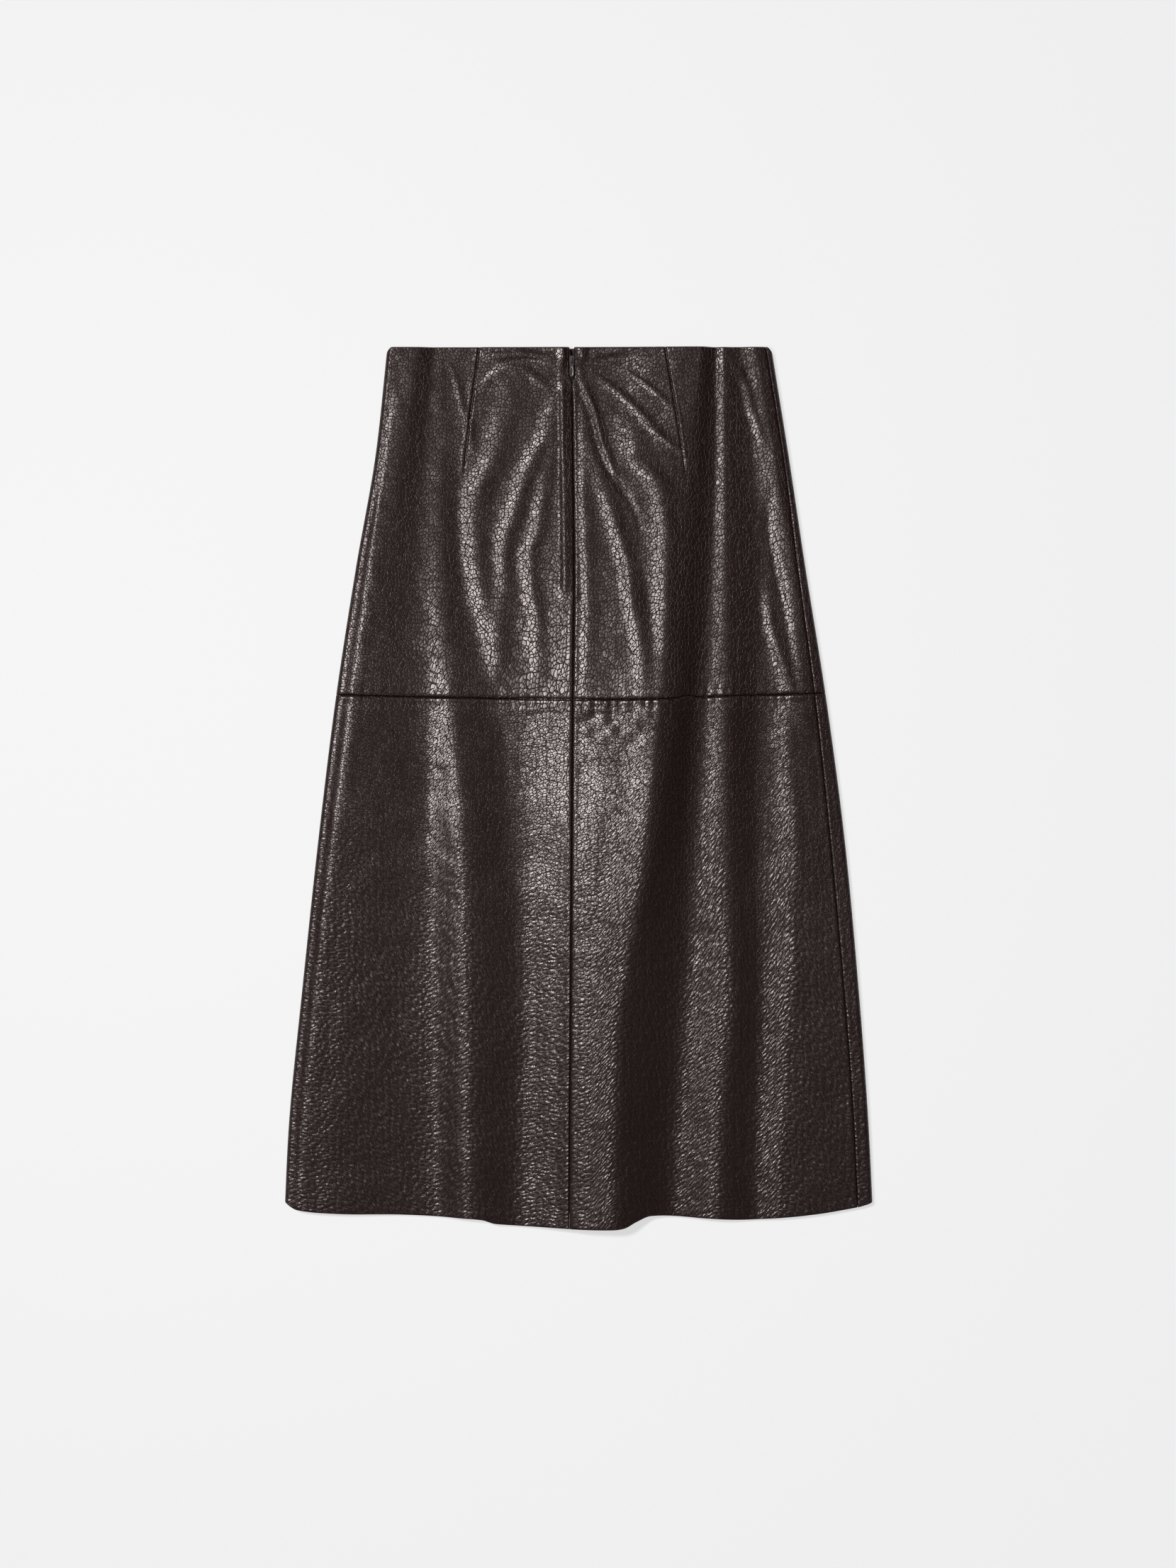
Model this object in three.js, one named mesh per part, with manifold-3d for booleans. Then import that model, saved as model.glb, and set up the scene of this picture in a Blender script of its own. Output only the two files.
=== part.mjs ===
// A leather skirt laid flat on its front, seen from the back: an A-line midi skirt with a hip
// section and a lower section joined by a level seam, two back darts and a concealed centre-back zip.
// Millimetres. +X is to the right as the back is looked at, +Y runs up to the waist, +Z is up from
// the surface that the skirt lies on. The origin is the middle of the footprint, on that surface.
import * as THREE from 'three';
import Module from 'manifold-3d';
import { mergeVertices } from 'three/addons/utils/BufferGeometryUtils.js';

// Driving dimensions
const LENGTH = 800; // waist edge to the lowest point of the hem
const WALL = 1.6; // leather with its glued turnings
const SEAM_GAP = 0.3; // between two pieces that are sewn together
const ROLL_RADIUS = 4.5; // of the rolled side folds, outside
const UNDER_SEAM = 9; // left side seam, measured in from the left edge on the underside
const CORNER_DROP = 4; // how far the waist edge curves down at the two side folds
const UNDER_WAIST_DROP = 0.6; // the front's waist edge lies this much lower than the back's
const DART_LENGTH = 116;
const DART_HALF_WIDTH = 2.6;
const DART_DEPTH = 1.3;

// Distances below the waist edge at which the tables give a value
const STATIONS = [0, 100, 200, 320, 450, 590, 700, 800];

// Where the long lines of the skirt lie across, at each station
const LINES = {
  left_edge: [-174, -185, -202.5, -221, -237, -252, -263, -268],
  right_edge: [175, 191, 206, 225, 242, 255, 263, 268],
  centre_back: [-6.4, -5.4, -4.2, -5.4, -6.4, -7.4, -8.2, -8.8],
  left_dart: [-90.6, -102.9, -113, -122, -130, -136, -140, -143],
  right_dart: [78.3, 94.5, 106, 116, 124, 130, 134, 136],
  right_side_seam: [169.5, 185.5, 198.5, 214.5, 228.5, 241.3, 249.3, 254],
};

// The crests and valleys of the long folds: where each lies across and how high it stands
const FOLDS = [
  {
    name: 'left edge crest',
    across: [-159.5, -173, -190, -206.5, -223.5, -239, -249.5, -254],
    height: [9.2, 10, 11, 11.5, 12, 12.2, 11.7, 10.9],
  },
  {
    name: 'left shoulder',
    across: [-144, -160, -177.5, -192.5, -206.5, -220.5, -231, -236.5],
    height: [8.9, 9.6, 10.3, 10.8, 11.1, 11.2, 11.1, 10.9],
  },
  {
    name: 'left valley',
    across: [-133, -140.5, -147, -141, -139, -137, -134, -129.5],
    height: [6.3, 6.6, 6.8, 6.5, 6, 5.7, 5.5, 5.3],
  },
  {
    name: 'left crest',
    across: [-124, -124, -122, -112.5, -104, -101, -100, -99.5],
    height: [6.3, 6.4, 6.6, 8.2, 10.5, 12, 12.6, 12.8],
  },
  {
    name: 'left of centre valley',
    across: [-113, -108, -102.5, -73.5, -58, -50, -52, -54],
    height: [6.7, 5.8, 5.1, 5.9, 6.5, 6.7, 7, 7.3],
  },
  {
    name: 'centre rise, low',
    across: [-40, -41.5, -42, -26, -22.5, -24, -24, -22.5],
    height: [8.3, 8.2, 8.5, 9.3, 10.6, 11.7, 12.3, 12.8],
  },
  {
    name: 'centre rise, high',
    across: [29.5, 24, 20, 25, 19, 6.5, 4, 3.5],
    height: [9, 11.3, 13.2, 15.4, 18.3, 19.9, 20.7, 21.3],
  },
  {
    name: 'centre crest',
    across: [111, 101, 92, 85, 68.5, 41.5, 35.5, 34],
    height: [13, 14.4, 15.5, 18, 20.5, 21.6, 22.3, 23.2],
  },
  {
    name: 'right of centre valley',
    across: [123, 122, 118, 108.5, 101, 94.5, 86.5, 83.5],
    height: [7.6, 7.8, 8, 8.6, 8.5, 8.2, 7.8, 7.3],
  },
  {
    name: 'right crest',
    across: [132, 133, 135, 137, 135.5, 138.5, 129.5, 126.5],
    height: [9, 9.2, 9.4, 10.1, 10.8, 11.6, 11.8, 12.2],
  },
  {
    name: 'right valley',
    across: [146, 157, 167.5, 163, 162.5, 165.5, 161, 160],
    height: [7.8, 7, 6.2, 5.8, 6.1, 6.6, 6.9, 7.1],
  },
  {
    name: 'side crest',
    across: [160, 177, 193, 204, 201, 194, 187.5, 183.5],
    height: [9.7, 10.1, 9.8, 9.5, 9.1, 8.7, 8.8, 9.4],
  },
];

// Small ridges that fan out below the waist and the zip: first and last distance below the waist
// edge, where the crest lies across at five even steps between them, its height and its half width
const WRINKLES = [
  { name: 'past left dart', from: 24, to: 320, across: [-60, -78, -94, -86, -69], height: 2.3, half: 11 },
  { name: 'zip to left', from: 18, to: 300, across: [-11, -35, -61, -68, -72], height: 1.7, half: 8 },
  { name: 'left of zip', from: 60, to: 330, across: [-13, -31, -43, -38, -36], height: 1.2, half: 7 },
  { name: 'right of zip', from: 34, to: 330, across: [3, 4.2, 5.5, 7, 4.5], height: 0.9, half: 7 },
  { name: 'zip to right', from: 80, to: 340, across: [10, 28, 47, 56, 61.5], height: 1.7, half: 8.5 },
  { name: 'crest shoulder', from: 60, to: 350, across: [43, 74, 80, 79, 76], height: 2.2, half: 11 },
  { name: 'right sheen', from: 300, to: 560, across: [63, 69, 62, 55, 51], height: 2.3, half: 17 },
];

// How far the hem rises above its lowest point, across the back
const HEM = {
  across: [-268, -257, -217, -165, -114, -88, -75, -24, 28, 42, 52, 66, 118, 156, 208, 254, 268],
  rise: [23, 16.7, 12.9, 12.2, 9.6, 7.7, 3.9, 0.8, 0, 1.4, 6.4, 11.4, 9, 7.8, 11.6, 19, 23],
};
const FRONT_HEM = { middle_rise: 12, side_rise: 24 }; // the front's hem, under the back's

// The level seam between the hip section and the lower section, below the waist edge
const LEVEL_SEAM = {
  across: [-225, -110, 0, 70, 130, 225],
  below: [315.7, 318.3, 319.8, 319.6, 316.9, 314.4],
};

// The opening at the top of the zip, to each side of the centre back
const SLIT = { below: [0, 26, 34], half: [3.2, 2.7, 0] };
const ZIP_LEVEL = { height: 9, half_width: 7, fade: 9, depth: 36, fade_below: 28 };

// The zip's own sizes. The tape is a strip on each side, the slider runs on their teeth, and the
// pull's bar lies under the slider's arched bridge
const TAPE = { width: 13, thickness: 0.8, top: 2, end: 240, clear: 0.3 };
const TAPE_OPENING = { below: [0, 8, 17, 21], half: [2.2, 1.0, 1.0, 0.15] };
const SLIDER = { below: 12.5, width: 4.4, length: 9, nose: 1.2, shoulder: 2 };
const SLIDER_NECK = { width: 1.2, length: 8, sunk: 0.2 };
const SLIDER_PLATE = { width: 6, thickness: 1 };
const BRIDGE = {
  width: 0.9, thickness: 0.8, foot: 2.9, foot_rise: 0.4, crown: 1.5, crown_taper: 0.4, sunk: 0.2,
};
const PULL = {
  axis_height: 0.9, bar_radius: 0.5, thickness: 1.0, top_width: 2.7, drop_width: 4.2, widest: 10.4,
  shoulder: 8.4, length: 15,
};
const EYE = { width: 1.5, top: 0.1, straight_end: 3.2, end: 3.8 };
const HINGE_CLEARANCE = 0.35; // between the bar and the bridge over it

const Y_WAIST = LENGTH / 2;

// A smooth curve through a table: cubic pieces whose slope at a point is that of its two neighbours,
// and at the two ends that of the last piece, or none where the ends lie level
function along(xs, values, at, levelEnds = false) {
  const last = xs.length - 1;
  const x = THREE.MathUtils.clamp(at, xs[0], xs[last]);
  let i = 0;
  while (i < last - 1 && x > xs[i + 1]) i += 1;
  const slope = (k) => {
    const a = Math.max(k - 1, 0);
    const b = Math.min(k + 1, last);
    return levelEnds && b - a === 1 ? 0 : (values[b] - values[a]) / (xs[b] - xs[a]);
  };
  const span = xs[i + 1] - xs[i];
  const t = (x - xs[i]) / span;
  const t2 = t * t;
  const t3 = t2 * t;
  return (2 * t3 - 3 * t2 + 1) * values[i] + (t3 - 2 * t2 + t) * span * slope(i)
    + (3 * t2 - 2 * t3) * values[i + 1] + (t3 - t2) * span * slope(i + 1);
}

// Straight pieces through a table
function straight(xs, values, at) {
  const last = xs.length - 1;
  const x = THREE.MathUtils.clamp(at, xs[0], xs[last]);
  let i = 0;
  while (i < last - 1 && x > xs[i + 1]) i += 1;
  return THREE.MathUtils.mapLinear(x, xs[i], xs[i + 1], values[i], values[i + 1]);
}

const line = (name, below) => along(STATIONS, LINES[name], below);

// 1 inside half, falling smoothly to 0 over fade beyond it
const window01 = (distance, half, fade) => 1 - THREE.MathUtils.smoothstep(distance, half, half + fade);

// The long folds: one smooth curve across, which starts and ends level at the two rolled edges
function foldHeight(x, below) {
  const xs = [line('left_edge', below) + ROLL_RADIUS];
  const heights = [2 * ROLL_RADIUS];
  for (const fold of FOLDS) {
    xs.push(along(STATIONS, fold.across, below));
    heights.push(along(STATIONS, fold.height, below));
  }
  xs.push(line('right_edge', below) - ROLL_RADIUS);
  heights.push(2 * ROLL_RADIUS);
  return along(xs, heights, x, true);
}

// The small ridges, each a round-topped bump across that fades in and out along its length
function wrinkleHeight(x, below) {
  let sum = 0;
  for (const w of WRINKLES) {
    const t = (below - w.from) / (w.to - w.from);
    if (t <= 0 || t >= 1) continue;
    const centre = along([0, 0.25, 0.5, 0.75, 1], w.across, t);
    const reach = Math.abs(x - centre) / (2 * w.half);
    if (reach < 1) sum += w.height * Math.sin(Math.PI * t) * Math.cos((reach * Math.PI) / 2) ** 4;
  }
  return sum;
}

// A dart draws the leather down along its line, less and less towards its point
function dartDepth(x, below) {
  const left = Math.max(0, 1 - below / DART_LENGTH);
  if (left === 0) return 0;
  const nearest = Math.min(Math.abs(x - line('left_dart', below)), Math.abs(x - line('right_dart', below)));
  return DART_DEPTH * Math.sqrt(left) * Math.max(0, 1 - nearest / DART_HALF_WIDTH);
}

// Height of the back's outer face above the surface
function backHeight(x, below) {
  const relief = foldHeight(x, below) + wrinkleHeight(x, below) - dartDepth(x, below);
  const beside = Math.abs(x - line('centre_back', below));
  const level = window01(beside, ZIP_LEVEL.half_width, ZIP_LEVEL.fade)
    * window01(below, ZIP_LEVEL.depth, ZIP_LEVEL.fade_below);
  return THREE.MathUtils.lerp(relief, ZIP_LEVEL.height, level);
}

// The skirt's outer face as one closed ring at each distance below the waist edge. The ring
// coordinate q counts its lines: 0 left side seam on the underside, 1 and 2 the ends of the left
// roll, 2.5 left dart, 3 centre back, 3.5 right dart, 4 right side seam, 5 and 6 the ends of the
// right roll, 7 left side seam again.
const Q = { under_seam: 0, roll: 1, roll_top: 2, left_dart: 2.5, centre: 3, right_dart: 3.5, side_seam: 4,
  right_roll: 5, right_roll_end: 6, end: 7 };

function topLines(below) {
  return [
    line('left_edge', below) + ROLL_RADIUS, line('left_dart', below), line('centre_back', below),
    line('right_dart', below), line('right_side_seam', below), line('right_edge', below) - ROLL_RADIUS,
  ];
}
const TOP_Q = [Q.roll_top, Q.left_dart, Q.centre, Q.right_dart, Q.side_seam, Q.right_roll];

function ring(q, below) {
  const left = line('left_edge', below);
  const right = line('right_edge', below);
  const y = Y_WAIST - below;
  const at = (x, z) => new THREE.Vector3(x, y, z);
  if (q < Q.roll) return at(THREE.MathUtils.lerp(left + UNDER_SEAM, left + ROLL_RADIUS, q), 0);
  if (q < Q.roll_top) {
    const turn = Math.PI * (q - Q.roll);
    return at(left + ROLL_RADIUS * (1 - Math.sin(turn)), ROLL_RADIUS * (1 - Math.cos(turn)));
  }
  if (q <= Q.right_roll) {
    const x = straight(TOP_Q, topLines(below), q);
    return at(x, backHeight(x, below));
  }
  if (q <= Q.right_roll_end) {
    const turn = Math.PI * (q - Q.right_roll);
    return at(right - ROLL_RADIUS * (1 - Math.sin(turn)), ROLL_RADIUS * (1 + Math.cos(turn)));
  }
  const t = q - Q.right_roll_end;
  return at(THREE.MathUtils.lerp(right - ROLL_RADIUS, left + UNDER_SEAM, t), 0);
}

// The outward direction of the ring's face, from its slopes along and across
function outward(q, below) {
  const step = 0.01;
  const q0 = Math.max(q - step, 0);
  const q1 = Math.min(q + step, Q.end);
  const d0 = Math.max(below - 1, 0);
  const d1 = Math.min(below + 1, LENGTH);
  const across = ring(q1, below).sub(ring(q0, below));
  const down = ring(q, d1).sub(ring(q, d0));
  return down.cross(across).normalize();
}

// Distance below the waist edge of the three level edges, at a place on the ring
function waistBelow(q) {
  const drop = (turn) => CORNER_DROP * Math.sin(Math.PI * turn) ** 2;
  if (q > Q.roll && q < Q.roll_top) return drop(q - Q.roll);
  if (q > Q.right_roll && q < Q.right_roll_end) return drop(q - Q.right_roll);
  if (q >= Q.right_roll_end) {
    return UNDER_WAIST_DROP * THREE.MathUtils.smoothstep(q, Q.right_roll_end, Q.right_roll_end + 0.1)
      * (1 - THREE.MathUtils.smoothstep(q, Q.end - 0.1, Q.end));
  }
  return 0;
}
function levelSeamBelow(q) {
  return along(LEVEL_SEAM.across, LEVEL_SEAM.below, ring(q, 317).x);
}
function hemBelow(q) {
  const x = ring(q, LENGTH).x;
  const back = along(HEM.across, HEM.rise, x);
  const share = (x / line('right_edge', LENGTH)) ** 2;
  const front = THREE.MathUtils.lerp(FRONT_HEM.middle_rise, FRONT_HEM.side_rise, share);
  const under = THREE.MathUtils.smoothstep(q, Q.right_roll_end, Q.right_roll_end + 0.08)
    * (1 - THREE.MathUtils.smoothstep(q, Q.end - 0.04, Q.end));
  return LENGTH - THREE.MathUtils.lerp(back, Math.max(front, back), under);
}

// A wall from a grid of outer points and the inner points behind them, closed round its rim
function wallGeometry(rows) {
  const outer = rows.map((row) => row.map((p) => p.outer));
  const inner = rows.map((row) => row.map((p) => p.inner));
  const positions = [];
  const triangle = (a, b, c) => positions.push(...a.toArray(), ...b.toArray(), ...c.toArray());
  const quad = (a, b, c, d) => {
    triangle(a, b, c);
    triangle(a, c, d);
  };
  const m = rows.length - 1;
  const n = rows[0].length - 1;
  for (let i = 0; i < m; i += 1) {
    for (let j = 0; j < n; j += 1) {
      quad(outer[i][j], outer[i + 1][j], outer[i + 1][j + 1], outer[i][j + 1]);
      quad(inner[i][j], inner[i][j + 1], inner[i + 1][j + 1], inner[i + 1][j]);
    }
  }
  for (let j = 0; j < n; j += 1) {
    quad(outer[0][j], outer[0][j + 1], inner[0][j + 1], inner[0][j]);
    quad(outer[m][j + 1], outer[m][j], inner[m][j], inner[m][j + 1]);
  }
  for (let i = 0; i < m; i += 1) {
    quad(outer[i + 1][0], outer[i][0], inner[i][0], inner[i + 1][0]);
    quad(outer[i][n], outer[i + 1][n], inner[i + 1][n], inner[i][n]);
  }
  const geometry = new THREE.BufferGeometry();
  geometry.setAttribute('position', new THREE.Float32BufferAttribute(positions, 3));
  geometry.computeVertexNormals();
  return geometry;
}

// count even steps from a to b, with b left off
const steps = (a, b, count) => Array.from({ length: count }, (_, i) => a + ((b - a) * i) / count);

// The ring coordinate of a place across the back
const qAcross = (x, below) => straight(topLines(below), TOP_Q, x);

const slitHalf = (below) => straight(SLIT.below, SLIT.half, below) + SEAM_GAP / 2;

// Ring coordinates of the columns of each back piece, at a distance below the waist edge
function leftColumns(below, dart) {
  const at = line('left_dart', below);
  const mid = dart
    ? [qAcross(at - DART_HALF_WIDTH, below), Q.left_dart, qAcross(at + DART_HALF_WIDTH, below)]
    : [Q.left_dart];
  const centre = line('centre_back', below);
  const beside = qAcross(centre - TAPE.width, below);
  const end = qAcross(centre - slitHalf(below), below);
  return [...steps(Q.under_seam, Q.roll, 1), ...steps(Q.roll, Q.roll_top, 6),
    ...steps(Q.roll_top, mid[0], 10), ...mid.slice(0, -1), ...steps(mid[mid.length - 1], beside, 10),
    ...steps(beside, end, 2), end];
}
function rightColumns(below, dart) {
  const at = line('right_dart', below);
  const mid = dart
    ? [qAcross(at - DART_HALF_WIDTH, below), Q.right_dart, qAcross(at + DART_HALF_WIDTH, below)]
    : [Q.right_dart];
  const centre = line('centre_back', below);
  const start = qAcross(centre + slitHalf(below), below);
  const beside = qAcross(centre + TAPE.width, below);
  const end = qAcross(line('right_side_seam', below) - SEAM_GAP / 2, below);
  return [...steps(start, beside, 2), ...steps(beside, mid[0], 10), ...mid.slice(0, -1),
    ...steps(mid[mid.length - 1], end, 11), end];
}
function frontColumns(below) {
  const start = qAcross(line('right_side_seam', below) + SEAM_GAP / 2, below);
  const end = Q.end - SEAM_GAP / (line('right_edge', below) - line('left_edge', below));
  return [...steps(start, Q.right_roll, 2), ...steps(Q.right_roll, Q.right_roll_end, 6),
    ...steps(Q.right_roll_end, end, 8), end];
}

// The place on the ring of a piece's column j, at a share of the way from its top to its bottom edge
function placeOf(columns, topEdge, bottomEdge, share, j) {
  const guess = THREE.MathUtils.lerp(topEdge(columns(0)[j]), bottomEdge(columns(LENGTH)[j]), share);
  const near = columns(guess)[j];
  const below = THREE.MathUtils.lerp(topEdge(near), bottomEdge(near), share);
  return { q: columns(below)[j], below };
}

// A point on the outer face and the one behind it, between two depths under that face
function throughWall({ q, below }, from, to) {
  const face = ring(q, below);
  const out = outward(q, below);
  return { outer: face.clone().addScaledVector(out, -from), inner: face.clone().addScaledVector(out, -to) };
}

// One piece of leather: columns of the ring between two edges, with rows at the given shares of the way
function panel(columns, topEdge, bottomEdge, shares) {
  const numbers = columns(0).map((_, j) => j);
  return wallGeometry(shares.map((share) => numbers.map(
    (j) => throughWall(placeOf(columns, topEdge, bottomEdge, share, j), 0, WALL),
  )));
}

const LOWER_SHARES = steps(0, 1, 13).concat(1);
const HIP_ROWS = [0, 3, 8, 14, 20, 26, 34, 44, 58, 76, 96, 116, 136, 158, 182, 208, 236, 264, 292, 319.5];
const HIP_SHARES = HIP_ROWS.map((row) => row / HIP_ROWS[HIP_ROWS.length - 1]);

const aboveSeam = (q) => levelSeamBelow(q) - SEAM_GAP / 2;
const belowSeam = (q) => levelSeamBelow(q) + SEAM_GAP / 2;

// A closed three.js geometry as a solid that can be joined or cut, and back
const wasm = await Module();
wasm.setup();
function toSolid(geometry) {
  const bare = geometry.clone();
  bare.deleteAttribute('normal');
  bare.deleteAttribute('uv');
  const merged = mergeVertices(bare, 1e-4);
  return new wasm.Manifold(new wasm.Mesh({
    numProp: 3,
    vertProperties: new Float32Array(merged.attributes.position.array),
    triVerts: new Uint32Array(merged.index.array),
  }));
}
function toGeometry(solid) {
  const mesh = solid.getMesh();
  const geometry = new THREE.BufferGeometry();
  geometry.setAttribute('position', new THREE.BufferAttribute(new Float32Array(mesh.vertProperties), 3));
  geometry.setIndex(new THREE.BufferAttribute(new Uint32Array(mesh.triVerts), 1));
  geometry.computeVertexNormals();
  return geometry;
}
const joined = (parts) => toGeometry(parts.map(toSolid).reduce((a, b) => a.add(b)));

function block(width, length, height, bottom) {
  return new THREE.BoxGeometry(width, length, height).translate(0, 0, bottom + height / 2);
}

// One side of the zip's tape: the leather's own rows and columns beside the centre back, moved in
// behind it, with one more column that reaches the zip's teeth
function tape(side) {
  const columns = (below) => (side < 0 ? leftColumns(below, true) : rightColumns(below, true));
  const last = columns(0).length - 1;
  const shared = side < 0 ? [last - 2, last - 1] : [1, 2];
  const rows = HIP_SHARES.filter((_, i) => HIP_ROWS[i] > TAPE.top && HIP_ROWS[i] < TAPE.end);
  return wallGeometry(rows.map((share) => {
    const places = shared.map((j) => placeOf(columns, waistBelow, aboveSeam, share, j));
    const { below } = places[side < 0 ? 1 : 0];
    const half = straight(TAPE_OPENING.below, TAPE_OPENING.half, below);
    const edge = { q: qAcross(line('centre_back', below) + side * half, below), below };
    const row = side < 0 ? [...places, edge] : [edge, ...places];
    return row.map((at) => throughWall(at, WALL + TAPE.clear, WALL + TAPE.clear + TAPE.thickness));
  }));
}

// A plane outline with its corners as points and its round ends as curves
function drawn(start, ...pieces) {
  const shape = new THREE.Shape();
  shape.moveTo(...start);
  for (const piece of pieces) {
    if (piece.length === 2) shape.lineTo(...piece);
    else shape.quadraticCurveTo(...piece);
  }
  shape.closePath();
  return shape;
}
const extruded = (shape, depth) => new THREE.ExtrudeGeometry(shape, {
  depth, bevelEnabled: false, curveSegments: 6,
});

// The slider, at its own place: a rounded body in the opening, a neck between the tapes, a plate
// behind them, and an arched bridge that holds the pull
function slider() {
  const bodyBottom = -WALL;
  const plateTop = -WALL - TAPE.clear - TAPE.thickness - TAPE.clear;
  const w = SLIDER.width / 2;
  const l = SLIDER.length / 2;
  const body = extruded(drawn([-w, SLIDER.nose - l], [-w, -l, 0, -l], [w, -l, w, SLIDER.nose - l],
    [w, l - SLIDER.shoulder], [w, l, 0, l], [-w, l, -w, l - SLIDER.shoulder]), -bodyBottom)
    .translate(0, 0, bodyBottom);
  const neck = block(SLIDER_NECK.width, SLIDER_NECK.length, bodyBottom - plateTop + 2 * SLIDER_NECK.sunk,
    plateTop - SLIDER_NECK.sunk);
  const plate = block(SLIDER_PLATE.width, SLIDER.length, SLIDER_PLATE.thickness,
    plateTop - SLIDER_PLATE.thickness);
  const under = PULL.axis_height + PULL.bar_radius + HINGE_CLEARANCE;
  const over = under + BRIDGE.thickness;
  const outer = BRIDGE.foot;
  const inner = BRIDGE.foot - BRIDGE.thickness;
  const crown = BRIDGE.crown - BRIDGE.crown_taper;
  const bridge = extruded(drawn([-outer, -BRIDGE.sunk], [-outer, BRIDGE.foot_rise], [-BRIDGE.crown, over],
    [BRIDGE.crown, over], [outer, BRIDGE.foot_rise], [outer, -BRIDGE.sunk], [inner, -BRIDGE.sunk],
    [inner, BRIDGE.foot_rise], [crown, under], [-crown, under], [-inner, BRIDGE.foot_rise],
    [-inner, -BRIDGE.sunk]), BRIDGE.width)
    .translate(0, 0, -BRIDGE.width / 2)
    .rotateX(Math.PI / 2)
    .rotateZ(Math.PI / 2);
  return joined([body, neck, plate, bridge]);
}

// The pull, with the axis of its bar at the origin: a slim drop with an eye for the bridge
function pull() {
  const top = PULL.top_width / 2;
  const wide = PULL.drop_width / 2;
  const neck = EYE.straight_end;
  const outline = drawn([-top, 0], [-top, -neck], [-wide, -PULL.shoulder, -wide, -PULL.widest],
    [-wide, -PULL.length, 0, -PULL.length], [wide, -PULL.length, wide, -PULL.widest],
    [wide, -PULL.shoulder, top, -neck], [top, 0]);
  const hole = EYE.width / 2;
  const eye = drawn([-hole, -EYE.top], [hole, -EYE.top], [hole, -neck], [0, -EYE.end, -hole, -neck]);
  outline.holes.push(eye);
  const plate = extruded(outline, PULL.thickness).translate(0, 0, -PULL.thickness / 2);
  const bar = new THREE.CylinderGeometry(PULL.bar_radius, PULL.bar_radius, PULL.top_width, 12)
    .rotateZ(Math.PI / 2);
  return joined([plate, bar]);
}

// Finishes: dark brown grained leather, its tape in a matching brown, and the painted zip fittings
const LEATHER = { color: 0x33282a, roughness: 0.42, metalness: 0 };
const LEATHER_UNDER = { color: 0x35292a, roughness: 0.45, metalness: 0 };
const TAPE_CLOTH = { color: 0x2a2021, roughness: 0.9, metalness: 0 };
const PAINTED = { color: 0x3a2c2c, roughness: 0.35, metalness: 0.3 };

const skirt = new THREE.Group();
function add(name, geometry, finish, parent = skirt) {
  const mesh = new THREE.Mesh(geometry, new THREE.MeshStandardMaterial(finish));
  mesh.name = name;
  parent.add(mesh);
}

add('back_hip_left', panel((d) => leftColumns(d, true), waistBelow, aboveSeam, HIP_SHARES), LEATHER);
add('back_hip_right', panel((d) => rightColumns(d, true), waistBelow, aboveSeam, HIP_SHARES), LEATHER);
add('back_lower_left', panel((d) => leftColumns(d, false), belowSeam, hemBelow, LOWER_SHARES), LEATHER);
add('back_lower_right', panel((d) => rightColumns(d, false), belowSeam, hemBelow, LOWER_SHARES), LEATHER);
add('front_hip', panel(frontColumns, waistBelow, aboveSeam, HIP_SHARES), LEATHER_UNDER);
add('front_lower', panel(frontColumns, belowSeam, hemBelow, LOWER_SHARES), LEATHER_UNDER);
add('zip_tape_left', tape(-1), TAPE_CLOTH);
add('zip_tape_right', tape(1), TAPE_CLOTH);

// The zip's fittings stand on the level patch of leather at the top of the centre back
const fittings = new THREE.Group();
fittings.position.set(line('centre_back', SLIDER.below), Y_WAIST - SLIDER.below, ZIP_LEVEL.height);
skirt.add(fittings);
add('zip_slider', slider(), PAINTED, fittings);
const hinge = new THREE.Group();
hinge.position.z = PULL.axis_height;
fittings.add(hinge);
add('zip_pull', pull(), PAINTED, hinge);

export default skirt;
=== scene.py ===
# %% [markdown]
# # A leather skirt, laid flat on its front
# The skirt is cut from six pieces of grained leather. This lesson dresses its plain CAD solids: each
# piece of leather becomes a thin shell with creases, sunk seams and grain, and the zip gets its coil.
# Blender works in metres, but the tables below are in millimetres, as a maker would write them.

# %% The CAD model as a fixed frame
import bpy
import numpy as np
from mathutils import Matrix


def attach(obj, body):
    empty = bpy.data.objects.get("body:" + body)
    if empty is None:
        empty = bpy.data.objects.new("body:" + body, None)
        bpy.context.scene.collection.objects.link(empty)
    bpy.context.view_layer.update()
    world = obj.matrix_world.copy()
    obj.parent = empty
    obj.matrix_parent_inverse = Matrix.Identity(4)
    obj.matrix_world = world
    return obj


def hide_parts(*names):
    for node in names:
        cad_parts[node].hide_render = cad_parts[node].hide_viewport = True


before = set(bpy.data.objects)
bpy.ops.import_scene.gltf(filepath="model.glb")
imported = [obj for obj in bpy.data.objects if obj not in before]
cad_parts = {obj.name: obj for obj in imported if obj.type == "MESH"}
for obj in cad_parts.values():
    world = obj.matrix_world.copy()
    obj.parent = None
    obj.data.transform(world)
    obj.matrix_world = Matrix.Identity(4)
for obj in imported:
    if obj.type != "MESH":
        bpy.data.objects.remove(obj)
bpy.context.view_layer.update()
MM = 0.001

# %% [markdown]
# ## The camera and the light
# The skirt was photographed from straight above, so the camera looks down from three metres. A large
# soft light from the upper left draws a highlight on the left flank of each fold and leaves the right
# flank dark. A soft box hangs much nearer, left of the skirt's middle. It adds the sheen round the middle,
# which fades towards the waist and the hem. A weak fill and the room keep the dark flanks open.

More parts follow.
